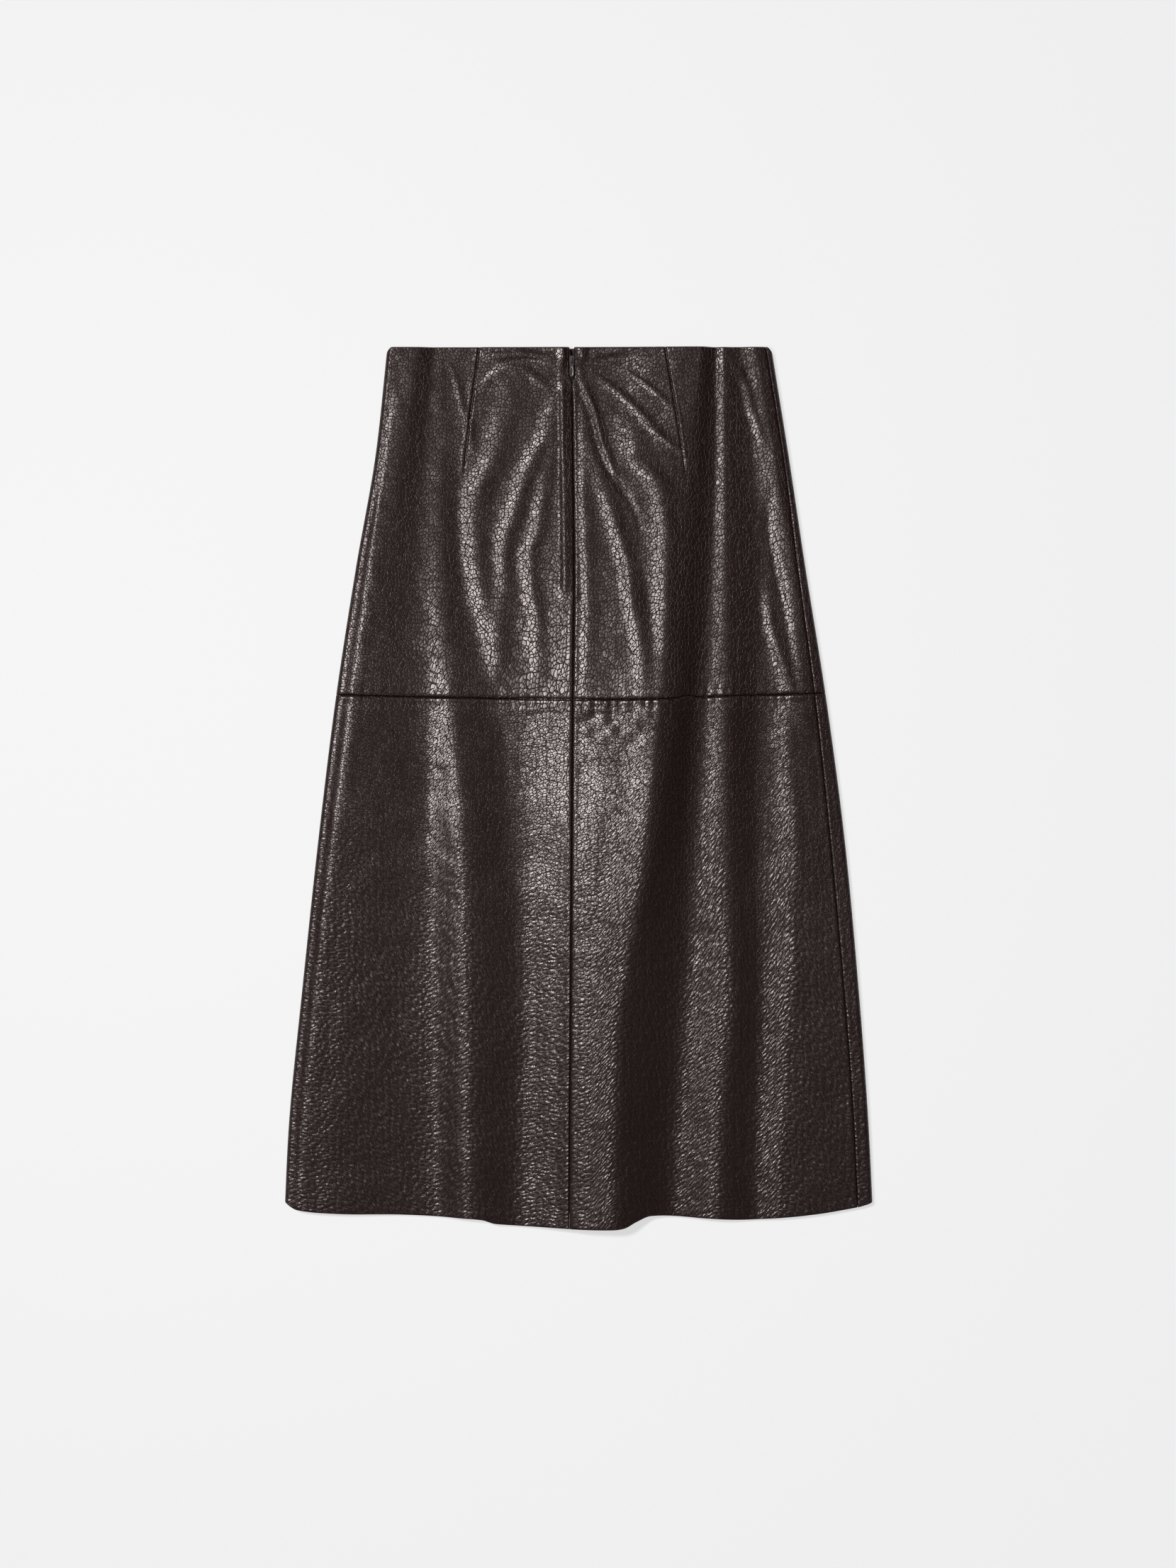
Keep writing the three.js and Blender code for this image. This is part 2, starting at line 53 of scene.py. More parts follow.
# %% The camera
MM_A_PIXEL, PHOTO_ROWS = 0.643, 2212
IMAGE_HEIGHT = PHOTO_ROWS * MM_A_PIXEL * MM
CAMERA_HEIGHT, FACE_HEIGHT = 3.0, 0.01
camera_data = bpy.data.cameras.new("camera")
camera_data.sensor_width = 36
camera_data.lens = camera_data.sensor_width / 2 * (CAMERA_HEIGHT - FACE_HEIGHT) / (IMAGE_HEIGHT / 2)
camera = bpy.data.objects.new("camera", camera_data)
camera.location = (0.0084, 0.0033, CAMERA_HEIGHT)
bpy.context.scene.collection.objects.link(camera)
bpy.context.scene.camera = camera
bpy.context.scene.view_settings.view_transform = "Standard"
print("lens", round(camera_data.lens, 1), "mm")


# %% The lights
def soft_light(name, toward, strength, spread):
    """A distant lamp whose light comes from a direction; its spread in degrees makes it soft."""
    data = bpy.data.lights.new(name, "SUN")
    data.energy = strength
    data.angle = np.radians(spread)
    lamp = bpy.data.objects.new(name, data)
    bpy.context.scene.collection.objects.link(lamp)
    back = np.array(toward, float) / np.linalg.norm(toward)
    side = np.cross((0, 1, 0), back)
    side /= np.linalg.norm(side)
    turn = np.eye(4)
    turn[:3, 0], turn[:3, 1], turn[:3, 2], turn[:3, 3] = side, np.cross(back, side), back, 3 * back
    lamp.matrix_world = Matrix(turn.tolist())
    return lamp


key = soft_light("key light", (-0.405, 0.34, 1.0), 2.35, 10)
fill = soft_light("fill light", (0.55, -0.5, 1.0), 0.05, 60)
box_data = bpy.data.lights.new("soft box", "AREA")
box_data.shape, box_data.size, box_data.energy = "DISK", 0.2, 12.0
soft_box = bpy.data.objects.new("soft box", box_data)
soft_box.location = (-0.60, 0.14, 1.5)
soft_box.rotation_euler = (0, np.arctan2(soft_box.location.x, soft_box.location.z), 0)
bpy.context.scene.collection.objects.link(soft_box)
world = bpy.data.worlds.new("studio")
world.use_nodes = True
world.node_tree.nodes["Background"].inputs["Color"].default_value = (1, 1, 1, 1)
world.node_tree.nodes["Background"].inputs["Strength"].default_value = 0.06
bpy.context.scene.world = world
print("lights", key.name, fill.name, soft_box.name)

# %% [markdown]
# ## The floor
# A sheet of near-white paper. Part of its brightness is its own glow, so the soft shadow to the lower
# right of the skirt stays pale.


# %% A short way to write materials
def new_finish(name):
    """A material with its shader, ready for its nodes."""
    finish = bpy.data.materials.new(name)
    finish.use_nodes = True
    return finish, finish.node_tree, finish.node_tree.nodes["Principled BSDF"]


def add(tree, kind, sockets=None, **settings):
    """A node with its settings. A socket is given a number or colour, or another node's output."""
    made = tree.nodes.new(kind)
    for key_name, value in settings.items():
        setattr(made, key_name, value)
    for key_name, value in (sockets or {}).items():
        if isinstance(value, bpy.types.NodeSocket):
            tree.links.new(value, made.inputs[key_name])
        else:
            made.inputs[key_name].default_value = value
    return made


# %% The floor
paper, tree, shader = new_finish("paper floor")
shader.inputs["Base Color"].default_value = (0.20, 0.20, 0.20, 1)
shader.inputs["Roughness"].default_value = 0.9
shader.inputs["Specular IOR Level"].default_value = 0.0
shader.inputs["Emission Color"].default_value = (1, 1, 1, 1)
shader.inputs["Emission Strength"].default_value = 0.668
floor_mesh = bpy.data.meshes.new("floor")
FLOOR = 40.0
floor_mesh.from_pydata([(-FLOOR, -FLOOR, -0.0003), (FLOOR, -FLOOR, -0.0003), (FLOOR, FLOOR, -0.0003),
                        (-FLOOR, FLOOR, -0.0003)], [], [(0, 1, 2, 3)])
floor_mesh.materials.append(paper)
floor = bpy.data.objects.new("floor", floor_mesh)
bpy.context.scene.collection.objects.link(floor)
print("floor", 2 * FLOOR, "m wide")

# %% [markdown]
# ## The tables that the skirt is drawn from
# These are the numbers of the CAD model: the long lines of the skirt at eight distances below the waist
# edge, and the crests and valleys of its long folds. The same tables are used here, so that each shell
# lies on the solid that it stands for.

# %% Sizes
LENGTH = 800
Y_WAIST = LENGTH / 2
WALL = 1.6
ROLL = 4.5
UNDER_SEAM = 9
CORNER_DROP = 4
UNDER_WAIST_DROP = 0.6
STATIONS = [0, 100, 200, 320, 450, 590, 700, 800]
LINES = {
    "left_edge": [-174, -185, -202.5, -221, -237, -252, -263, -268],
    "right_edge": [175, 191, 206, 225, 242, 255, 263, 268],
    "centre_back": [-6.4, -5.4, -4.2, -5.4, -6.4, -7.4, -8.2, -8.8],
    "left_dart": [-90.6, -102.9, -113, -122, -130, -136, -140, -143],
    "right_dart": [78.3, 94.5, 106, 116, 124, 130, 134, 136],
    "right_side_seam": [169.5, 185.5, 198.5, 214.5, 228.5, 241.3, 249.3, 254],
}

# %% The long folds: where each crest or valley lies across, and how high it stands
FOLDS = {
    "left edge crest": ([-159.5, -173, -190, -206.5, -223.5, -239, -249.5, -254],
                        [9.2, 10, 11, 11.5, 12, 12.2, 11.7, 10.9]),
    "left shoulder": ([-144, -160, -177.5, -192.5, -206.5, -220.5, -231, -236.5],
                      [8.9, 9.6, 10.3, 10.8, 11.1, 11.2, 11.1, 10.9]),
    "left valley": ([-133, -140.5, -147, -141, -139, -137, -134, -129.5],
                    [6.3, 6.6, 6.8, 6.5, 6, 5.7, 5.5, 5.3]),
    "left crest": ([-124, -124, -122, -112.5, -104, -101, -100, -99.5],
                   [6.3, 6.4, 6.6, 8.2, 10.5, 12, 12.6, 12.8]),
    "left of centre valley": ([-113, -108, -102.5, -73.5, -58, -50, -52, -54],
                              [6.7, 5.8, 5.1, 5.9, 6.5, 6.7, 7, 7.3]),
    "centre rise, low": ([-40, -41.5, -42, -26, -22.5, -24, -24, -22.5],
                         [8.3, 8.2, 8.5, 9.3, 10.6, 11.7, 12.3, 12.8]),
    "centre rise, high": ([29.5, 24, 20, 25, 19, 6.5, 4, 3.5],
                          [9, 11.3, 13.2, 15.4, 18.3, 19.9, 20.7, 21.3]),
    "centre crest": ([111, 101, 92, 85, 68.5, 41.5, 35.5, 34],
                     [13, 14.4, 15.5, 18, 20.5, 21.6, 22.3, 23.2]),
    "right of centre valley": ([123, 122, 118, 108.5, 101, 94.5, 86.5, 83.5],
                               [7.6, 7.8, 8, 8.6, 8.5, 8.2, 7.8, 7.3]),
    "right crest": ([132, 133, 135, 137, 135.5, 138.5, 129.5, 126.5],
                    [9, 9.2, 9.4, 10.1, 10.8, 11.6, 11.8, 12.2]),
    "right valley": ([146, 157, 167.5, 163, 162.5, 165.5, 161, 160],
                     [7.8, 7, 6.2, 5.8, 6.1, 6.6, 6.9, 7.1]),
    "side crest": ([160, 177, 193, 204, 201, 194, 187.5, 183.5],
                   [9.7, 10.1, 9.8, 9.5, 9.1, 8.7, 8.8, 9.4]),
}
HEM_ACROSS = [-268, -257, -217, -165, -114, -88, -75, -24, 28, 42, 52, 66, 118, 156, 208, 254, 268]
HEM_RISE = [23, 16.7, 12.9, 12.2, 9.6, 7.7, 3.9, 0.8, 0, 1.4, 6.4, 11.4, 9, 7.8, 11.6, 19, 23]
FRONT_HEM = (12, 24)
LEVEL_SEAM_ACROSS = [-225, -110, 0, 70, 130, 225]
LEVEL_SEAM_BELOW = [315.7, 318.3, 319.8, 319.6, 316.9, 314.4]
SLIT_BELOW, SLIT_HALF = [0, 26, 34], [3.2, 2.7, 0]
ZIP_LEVEL = {"height": 9, "half_width": 7, "fade": 9, "depth": 36, "fade_below": 28}
print(len(FOLDS), "long folds")


# %% Curves through the tables
def along(stations, values, at):
    """Cubic pieces through a table; the slope at each point is that of the line between its neighbours."""
    stations, values = np.asarray(stations, float), np.asarray(values, float)
    last = len(stations) - 1
    before, after = np.maximum(np.arange(last + 1) - 1, 0), np.minimum(np.arange(last + 1) + 1, last)
    slope = (values[after] - values[before]) / (stations[after] - stations[before])
    x = np.clip(at, stations[0], stations[-1])
    i = np.clip(np.searchsorted(stations, x, side="left") - 1, 0, last - 1)
    span = stations[i + 1] - stations[i]
    t = (x - stations[i]) / span
    return ((2 * t**3 - 3 * t**2 + 1) * values[i] + (t**3 - 2 * t**2 + t) * span * slope[i]
            + (3 * t**2 - 2 * t**3) * values[i + 1] + (t**3 - t**2) * span * slope[i + 1])


def line(name, below):
    """Where a long line of the skirt lies across, at a distance below the waist edge."""
    return along(STATIONS, LINES[name], below)


def ease(x, low, high):
    """0 below low, 1 above high, and a smooth S between."""
    t = np.clip((x - low) / (high - low), 0, 1)
    return t * t * (3 - 2 * t)


# %% [markdown]
# ## The long folds
# Leather that hangs in folds keeps them when it is laid down. Across the back, one smooth curve runs
# through the heights of all crests and valleys, so the folds flow into each other.


# %% Heights through the fold lines
def through_lines(x, places, values):
    """Cubic pieces across, through the value at each line, with the slope between its neighbours there."""
    last = len(places) - 1
    slopes = [0 * values[0]] + [(values[k + 1] - values[k - 1]) / (places[k + 1] - places[k - 1])
                                for k in range(1, last)] + [0 * values[0]]
    result = values[0] + 0 * x
    for k in range(last):
        width = places[k + 1] - places[k]
        t = np.clip((x - places[k]) / width, 0, 1)
        piece = ((2 * t**3 - 3 * t**2 + 1) * values[k] + (t**3 - 2 * t**2 + t) * width * slopes[k]
                 + (3 * t**2 - 2 * t**3) * values[k + 1] + (t**3 - t**2) * width * slopes[k + 1])
        result = np.where(x > places[k], piece, result)
    return result


def between_lines(x, places, values):
    """At each place across, the S-shaped step between the values of the two lines beside it."""
    result = values[0] + 0 * x
    for a, b, value_a, value_b in zip(places[:-1], places[1:], values[:-1], values[1:]):
        result = np.where(x > a, value_a + (value_b - value_a) * ease(x, a, b), result)
    return result


def fold_lines(below):
    """Places across of the two rolled edges and of every crest and valley between them."""
    inner = [along(STATIONS, across, below) for across, _ in FOLDS.values()]
    return [line("left_edge", below) + ROLL, *inner, line("right_edge", below) - ROLL]


def fold_height(x, below):
    """Height of the long folds above the floor."""
    inner = [along(STATIONS, height, below) for _, height in FOLDS.values()]
    ends = 2 * ROLL + 0 * below
    return through_lines(x, fold_lines(below), [ends, *inner, ends])


# %% [markdown]
# ## The creases
# Small ridges fan out from the zip and the waist, where the leather was folded in wear. Each is listed
# as a line down the skirt, a height, and a half width to its left and to its right. A negative
# height is a trough. They fade in and out along their length, and no two are alike.

# %% The creases that run down the skirt: (below, across, height, left half width, right half width)
CREASES = {
    "past left dart": ([24, 41, 59, 85, 106, 130, 150, 177, 204, 264, 320],
                       [-60, -63, -66, -73, -80, -90.5, -95, -94, -91.5, -79, -69], 1.9, 13, 14),
    "zip to left": ([16, 35, 61, 82, 101, 129, 150, 177, 204, 300],
                    [-11, -17.5, -24, -30, -41, -52, -58, -67, -68, -71.5], 1.4, 9.5, 10),
    "left of zip": ([56, 79, 101, 122, 150, 170, 190, 250, 320],
                    [-13, -16, -25.5, -30.5, -35, -38.5, -44.5, -38, -36], 1.0, 8, 8),
    "right of zip": ([30, 60, 150, 240, 330], [3, 4, 4.5, 8, 4.5], 0.9, 4.5, 10),
    "zip to right": ([80, 93, 125, 141, 166, 194, 211, 236, 256, 340],
                     [10, 13, 21, 27.5, 35, 43.5, 46.5, 50, 55, 61.5], 1.7, 8.5, 9.5),
    "crest shoulder": ([60, 104, 123, 144, 173, 202, 350], [43, 54, 72, 77, 80.5, 80, 75.5], 2.2, 12, 12),
    "from the slit": ([12, 19, 34, 45, 58, 72, 87, 98, 130],
                      [-1.5, 0.5, 3.5, 9, 14, 17.5, 21, 26, 36], 1.2, 3.8, 4.5),
    "trough beside it": ([30, 44, 69, 87, 104, 123, 137, 158, 190],
                         [0, 3, 12, 16, 21, 33.5, 43.5, 54, 58], -0.7, 3.8, 6),
    "first diagonal": ([20, 29, 45, 58, 76, 90], [6, 20, 40, 53.5, 70, 84], 1.1, 6, 6.4),
    "second diagonal": ([18, 26, 38, 48, 60], [36, 49, 66, 77, 89], 0.9, 5, 5),
    "third diagonal": ([66, 78, 93, 104], [54, 69, 89, 101], 0.7, 5, 5),
    "beside the left crest": ([12, 28, 45, 66], [-118, -112, -108, -104], 0.5, 3, 4),
    "left dart pucker": ([50, 78, 104], [-106, -98.5, -96], 0.5, 4, 4),
    "side second": ([8, 19, 36, 58, 69, 90], [139, 145, 152, 157, 161.5, 167], 1.2, 5.5, 5),
    "hip second": ([196, 220, 253, 277, 302, 322], [167, 171, 175, 182, 190, 195], 1.4, 6.5, 6.5),
    "side trough": ([120, 166, 220, 277, 318], [176, 172, 183, 192.5, 196.5], -0.8, 4.4, 5),
    "edge pinch": ([96, 130, 160, 200], [-178, -183, -188, -194], 1.0, 3, 5),
    "on the left crest": ([40, 200, 320, 450, 590, 700, 840],
                          [-124, -124, -117, -107.5, -103.5, -104, -102], 0.3, 12, 12),
    "on the centre crest": ([60, 200, 320, 450, 590, 700, 840],
                            [96, 85.5, 78.5, 64, 41.5, 35.5, 33], 0.5, 10, 8),
    "waist swell, left": ([-6, 9, 26], [-15, -15.5, -16], 1.9, 22, 5),
    "slit corner, left": ([-3, 7, 17], [-11.5, -11.5, -10.5], 1.5, 6, 3.5),
    "slit corner, right": ([-3, 4, 11], [3.5, 3.5, 4], 1.1, 4, 4.5),
    "centre sheen": ([300, 360, 420, 480, 570], [-22, -15.5, -11, -7, -4], 0.7, 24, 16),
    "right sheen": ([300, 360, 420, 480, 560], [63, 69, 64, 57, 51], 2.3, 20, 15),
    "side sheen": ([320, 380, 430, 510], [187.5, 190.5, 195.5, 200], 0.8, 10, 8),
    "side patch": ([470, 510, 550, 620], [188, 190, 194, 198], 0.6, 10, 8),
    "low centre": ([520, 620, 700, 840], [-36, -30, -21.5, -20], 0.6, 20, 12),
}
# The creases that run across it: (across, below, height, half width above, half width below)
CROSS_CREASES = {
    "waist left": ([-96, -90, -74, -54, -41, -30, -16, -9], [8, 8.5, 8.7, 7, 8, 10, 13, 15],
                   1.5, 4.5, 3.4),
    "arch": ([-90, -83, -75, -61, -47.5, -35, -24], [38, 30, 23.5, 19.5, 22, 30, 40], 1.1, 5, 6),
    "waist right": ([-3, 4, 18, 37, 60], [11, 9.5, 8, 4.7, 3.7], 0.6, 3.5, 2.6),
    "below waist right": ([-2, 18, 37, 52], [15, 12, 8.5, 8], -0.5, 2.2, 2.5),
}
print(len(CREASES) + len(CROSS_CREASES), "creases")


# %% The height of the creases
def ridge(start, end, position, distance, height, half_before, half_after):
    """A round-topped bump: height times the fourth power of a cosine of the distance, faded by a sine."""
    t = np.clip((position - start) / (end - start), 0, 1)
    half = np.where(distance < 0, half_before, half_after)
    reach = np.clip(np.abs(distance) / (2 * half), 0, 1)
    return height * np.sin(np.pi * t) ** 0.8 * np.cos(reach * np.pi / 2) ** 4


def crease_height(x, below):
    """The sum of all creases."""
    total = 0 * x
    for stations, across, height, left, right in CREASES.values():
        total += ridge(stations[0], stations[-1], below, x - along(stations, across, below),
                       height, left, right)
    for stations, down, height, above, under in CROSS_CREASES.values():
        total += ridge(stations[0], stations[-1], x, below - along(stations, down, x),
                       height, above, under)
    return total


# %% [markdown]
# ## What a seam does to leather
# The level seam gathers the leather a little, so short puckers cross it and fade within 15 mm. Below
# it, the pressed-open allowance prints through as a soft step. Beside the zip, the tape stiffens the
# leather, and its edge shows as a fine beaded line.


# %% Puckers, the print of the allowance, and the edge of the tape
def level_seam_below(x):
    """Distance of the level seam below the waist edge."""
    kink = 1.8 * np.exp(-(((x - 99) / 7) ** 2))
    return along(LEVEL_SEAM_ACROSS, LEVEL_SEAM_BELOW, x) - kink


def seam_relief(x, below):
    """Short waves along the level seam, strongest just below it right of the centre back, and a step."""
    distance = below - level_seam_below(x)
    phase = x / 8.6 * 2 * np.pi + 1.7 * np.sin(x / 17.0) + 1.1 * np.sin(x / 6.1 + 2)
    share = 0.30 + 0.75 * ease(x, -8, 4) * (1 - ease(x, 66, 84)) * (distance > 0)
    share += 0.65 * ease(x, 88, 98) * (1 - ease(x, 138, 156)) * (distance < 0)
    waves = 0.30 * share * np.sin(phase + 0.05 * distance) * np.exp(-((distance / 9) ** 2))
    step = (0.35 * ease(x, -60, -48) * (1 - ease(x, 24, 38))
            * (1 - ease(distance, 10.5, 12.5)) * (distance > 0))
    return waves + step


def groove(distance, depth, width, lip, lip_before, lip_after):
    """A seam's sunk line with a rounded lip on each side; the lips have their own heights."""
    side = np.where(distance < 0, lip_before, lip_after)
    return (side * np.exp(-(((np.abs(distance) - lip) / 1.3) ** 2))
            - depth * np.exp(-((distance / width) ** 2)))


def sewn_lines(x, below):
    """The grooves of the level seam, of the centre back below the zip, and of the right side seam."""
    total = groove(below - level_seam_below(x), 0.55, 0.9, 2.8, 0.15, 0.55)
    closed = ease(below, 34, 44)
    total += closed * groove(x - line("centre_back", below), 0.7, 0.9, 2.6,
                             0.22 * ease(below, 225, 240), 0.32)
    total += groove(x - line("right_side_seam", below), 0.45, 0.9, 2.4, 0.25, 0.15)
    return total


def zip_relief(x, below):
    """A flat band over each tape with a beaded ridge at its edge, and a small bump where the zip ends."""
    beside = x - line("centre_back", below)
    length = ease(below, 30, 44) * (1 - ease(below, 212, 232))
    beads = 0.3 * np.sin(below / 4.3 * 2 * np.pi + 2 * np.sin(below / 13))
    beads = beads * np.exp(-(((beside + 9.6) / 1.2) ** 2))
    left = 1.6 * np.clip(-beside / 8.6, 0, 1) * (1 - ease(-beside, 8.6, 13.5)) + beads
    end = 0.9 * np.exp(-(((x + 2.6) / 3.2) ** 2) - ((below - 225) / 5) ** 2)
    return left * length + end


# %% [markdown]
# ## Uneven hide
# No hide is even. Slow waves of 9 to 40 mm, a few tenths of a millimetre high, break up the folds. They
# come from a table of random heights with a fixed seed, joined smoothly, so each run gives the same skirt.


# %% Slow waves in the leather
def hide_waves(x, y, size, seed):
    """Random heights on a square lattice, joined by S curves both ways."""
    table = np.random.default_rng(seed).uniform(-1, 1, (160, 160))
    across, down = x / size + 60, y / size + 60
    i, j = np.floor(across).astype(int), np.floor(down).astype(int)
    s, t = ease(across - i, 0, 1), ease(down - j, 0, 1)
    i, j = i % 159, j % 159
    top = table[i, j] * (1 - s) + table[i + 1, j] * s
    bottom = table[i, j + 1] * (1 - s) + table[i + 1, j + 1] * s
    return top * (1 - t) + bottom * t


def hide_relief(x, below):
    """Slow waves, with smaller, stronger ones where the leather is loose just below the level seam."""
    y = Y_WAIST - below
    loose = ease(x, -6, 6) * (1 - ease(x, 70, 90)) * ease(below, 318, 324) * (1 - ease(below, 345, 385))
    return (0.45 * hide_waves(x, y, 34, 3) + 0.22 * hide_waves(x + 0.5 * y, y, 15, 5)
            + (0.07 + 0.38 * loose) * hide_waves(x, y, 7.5, 8))


# %% [markdown]
# ## The face of the skirt as one ring
# At each level the skirt is a flat ring: along the underside from the left side seam, round the left
# roll, across the back, round the right roll and back. A ring coordinate counts its lines, so that a
# piece is a patch between two ring coordinates and two level edges.

# %% The darts and the back's height
DART_LENGTH, DART_HALF_WIDTH, DART_DEPTH = 116, 1.5, 1.3


def dart_relief(x, below):
    """A V along each dart that runs out at its point, with a lip on the side that faces the light."""
    left = np.sqrt(np.clip(1 - below / DART_LENGTH, 0, 1))
    total = 0 * x
    for name, lip_before, lip_after in (("left_dart", 0.55, 0.15), ("right_dart", 0.15, 0.5)):
        distance = x - line(name, below)
        total -= DART_DEPTH * left * np.clip(1 - np.abs(distance) / DART_HALF_WIDTH, 0, 1) ** 1.3
        lips = np.where(distance < 0, lip_before, lip_after) * left * ease(below, 20, 70)
        total += lips * np.exp(-(((np.abs(distance) - 2.6) / 1.1) ** 2))
    return total


def level_height(x, below):
    """Height of the long folds, levelled beside the top of the zip."""
    beside = np.abs(x - line("centre_back", below))
    folds = fold_height(x, below)
    level = ((1 - ease(beside, ZIP_LEVEL["half_width"], ZIP_LEVEL["half_width"] + ZIP_LEVEL["fade"]))
             * (1 - ease(below, ZIP_LEVEL["depth"], ZIP_LEVEL["depth"] + ZIP_LEVEL["fade_below"])))
    return folds + (ZIP_LEVEL["height"] - folds) * level


def back_height(x, below):
    """Height of the back's outer face: the levelled folds, and the creases, seams, hide and darts on them."""
    beside = np.abs(x - line("centre_back", below))
    small = crease_height(x, below) + seam_relief(x, below) + hide_relief(x, below)
    clear = (1 - ease(beside, 3.6, 6.5)) * (1 - ease(below, 34, 42))
    edge = (ease(x - line("left_edge", below) - ROLL, 0, 12)
            * ease(line("right_edge", below) - ROLL - x, 0, 12))
    return (level_height(x, below) + small * (1 - clear) * edge + sewn_lines(x, below)
            + zip_relief(x, below) + dart_relief(x, below))


# %% The ring
TOP_Q = [2, 2.5, 3, 3.5, 4, 5]


def top_lines(below):
    """The lines across the back whose ring coordinates are TOP_Q."""
    return [line("left_edge", below) + ROLL, line("left_dart", below), line("centre_back", below),
            line("right_dart", below), line("right_side_seam", below), line("right_edge", below) - ROLL]


def q_across(x, below):
    """The ring coordinate of a place across the back, by straight pieces between the lines."""
    lines, result = top_lines(below), 2 + 0 * x
    for a, b, qa, qb in zip(lines[:-1], lines[1:], TOP_Q[:-1], TOP_Q[1:]):
        result = np.where(x > a, qa + (qb - qa) * (x - a) / (b - a), result)
    return result


def ring_place(q, below):
    """Place across, height, and the unrolled place across, at a ring coordinate."""
    left, right = line("left_edge", below), line("right_edge", below)
    lines = top_lines(below)
    x = lines[0] + 0 * q
    for a, b, qa, qb in zip(lines[:-1], lines[1:], TOP_Q[:-1], TOP_Q[1:]):
        x = np.where(q > qa, a + (b - a) * np.clip((q - qa) / (qb - qa), 0, 1), x)
    turn_left, turn_right = np.pi * np.clip(q - 1, 0, 1), np.pi * np.clip(q - 5, 0, 1)
    z = back_height(x, below)
    on_left, on_right = q < 2, q > 5
    past_seam = (UNDER_SEAM - ROLL) * np.clip(1 - q, 0, 1)
    x = np.where(on_left, left + ROLL * (1 - np.sin(turn_left)) + past_seam, x)
    x = np.where(on_right, right - ROLL * (1 - np.sin(turn_right)), x)
    under = np.clip(q - 6, 0, 1)
    x = np.where(q > 6, (right - ROLL) + (left + UNDER_SEAM - right + ROLL) * under, x)
    z = np.where(on_left, ROLL * (1 - np.cos(turn_left)), z)
    z = np.where(on_right, ROLL * (1 + np.cos(turn_right)), z)
    unrolled = np.where(on_left, left + ROLL - ROLL * (np.pi - turn_left) - past_seam, x)
    unrolled = np.where(on_right, right - ROLL + ROLL * turn_right
                        + (right - left - UNDER_SEAM - ROLL) * under, unrolled)
    return x, z, unrolled


# %% The three level edges, as distances below the waist edge
def waist_below(q, below):
    """The waist edge dips at the rolls, and the front's lies a little lower."""
    left_turn, right_turn = np.clip(q - 1, 0, 1), np.clip(q - 5, 0, 1)
    dip = CORNER_DROP * (np.sin(np.pi * left_turn) ** 2 + np.sin(np.pi * right_turn) ** 2)
    return dip + UNDER_WAIST_DROP * ease(q, 6, 6.1) * (1 - ease(q, 6.9, 7))


def seam_below(q, below):
    """The level seam."""
    return level_seam_below(ring_place(q, 317 + 0 * q)[0])


def hem_below(q, below):
    """The hem: the back's own curve on the visible side, and the front's under it."""
    x = ring_place(q, LENGTH + 0 * q)[0]
    back = along(HEM_ACROSS, HEM_RISE, x)
    front = FRONT_HEM[0] + (FRONT_HEM[1] - FRONT_HEM[0]) * (x / 268) ** 2
    under = ease(q, 6, 6.08) * (1 - ease(q, 6.96, 7))
    return LENGTH - (back + (np.maximum(front, back) - back) * under)


# %% [markdown]
# ## One piece of leather
# A shell of leather is made from its outer face: the middle of the wall lies 0.8 mm behind it, and the
# two faces close round the rim in a half circle. Two pieces that meet at a seam share that rim, so the
# seam is a sunk line, as where two turned edges are sewn face to face.

# %% Where the grid lines of a piece lie
RIM = np.array([0, 0.03, 0.1, 0.2, 0.34, 0.52, 0.75])
RIM_WIDTH = 2.0


def even(count):
    """Even steps from 0 up to, but not including, 1."""
    return np.arange(count) / count


def grid_lines(stops, at):
    """Ring coordinates of the columns: each stretch between two stops is divided by its own steps."""
    edges = [stop(at) for stop, _ in stops]
    segment = np.concatenate([np.full(len(steps), i) for i, (_, steps) in enumerate(stops)])
    share = np.concatenate([steps for _, steps in stops])
    starts = np.stack(edges)
    ends = np.stack(edges[1:] + [edges[-1]])
    column = np.arange(len(share))
    return (starts[segment, ..., column] * (1 - share[:, None])
            + ends[segment, ..., column] * share[:, None]).T


# %% The grid of a piece
def piece_grid(stops, top_edge, bottom_edge, rows):
    """Ring coordinate and distance below the waist of each grid point, between two level edges."""
    columns = sum(len(steps) for _, steps in stops)
    share = rows[:, None] + np.zeros((1, columns))
    below = share * LENGTH
    q = grid_lines(stops, below)
    for _ in range(3):
        top, bottom = top_edge(q, below), bottom_edge(q, below)
        below = top + (bottom - top) * share
        q = grid_lines(stops, below)
    return q, below


# %% The closed shell of a piece
def rim_share(distance, radius):
    """How far the wall has opened at a distance from its rim: a quarter circle, from 0 to 1."""
    t = np.clip(distance / radius, 0, 1)
    return np.sqrt(1 - (1 - t) ** 2)


def shell_points(face, radii, depth=WALL / 2, wall=WALL):
    """Outer and inner points, in metres, of a wall whose middle lies at a depth behind its face."""
    down, across = np.gradient(face, axis=0), np.gradient(face, axis=1)
    out = np.cross(down, across)
    out /= np.linalg.norm(out, axis=-1, keepdims=True)
    step_across = np.linalg.norm(np.diff(face, axis=1), axis=-1)
    step_down = np.linalg.norm(np.diff(face, axis=0), axis=-1)
    from_left = np.pad(np.cumsum(step_across, axis=1), ((0, 0), (1, 0)))
    from_top = np.pad(np.cumsum(step_down, axis=0), ((1, 0), (0, 0)))
    top, bottom, left, right = radii
    share = np.minimum.reduce([
        rim_share(from_top, top), rim_share(from_top[-1:] - from_top, bottom),
        rim_share(from_left, left), rim_share(from_left[:, -1:] - from_left, right)])
    middle = face - out * np.asarray(depth)[..., None]
    offset = out * (wall / 2 * share)[..., None]
    return (middle + offset) * MM, (middle - offset) * MM


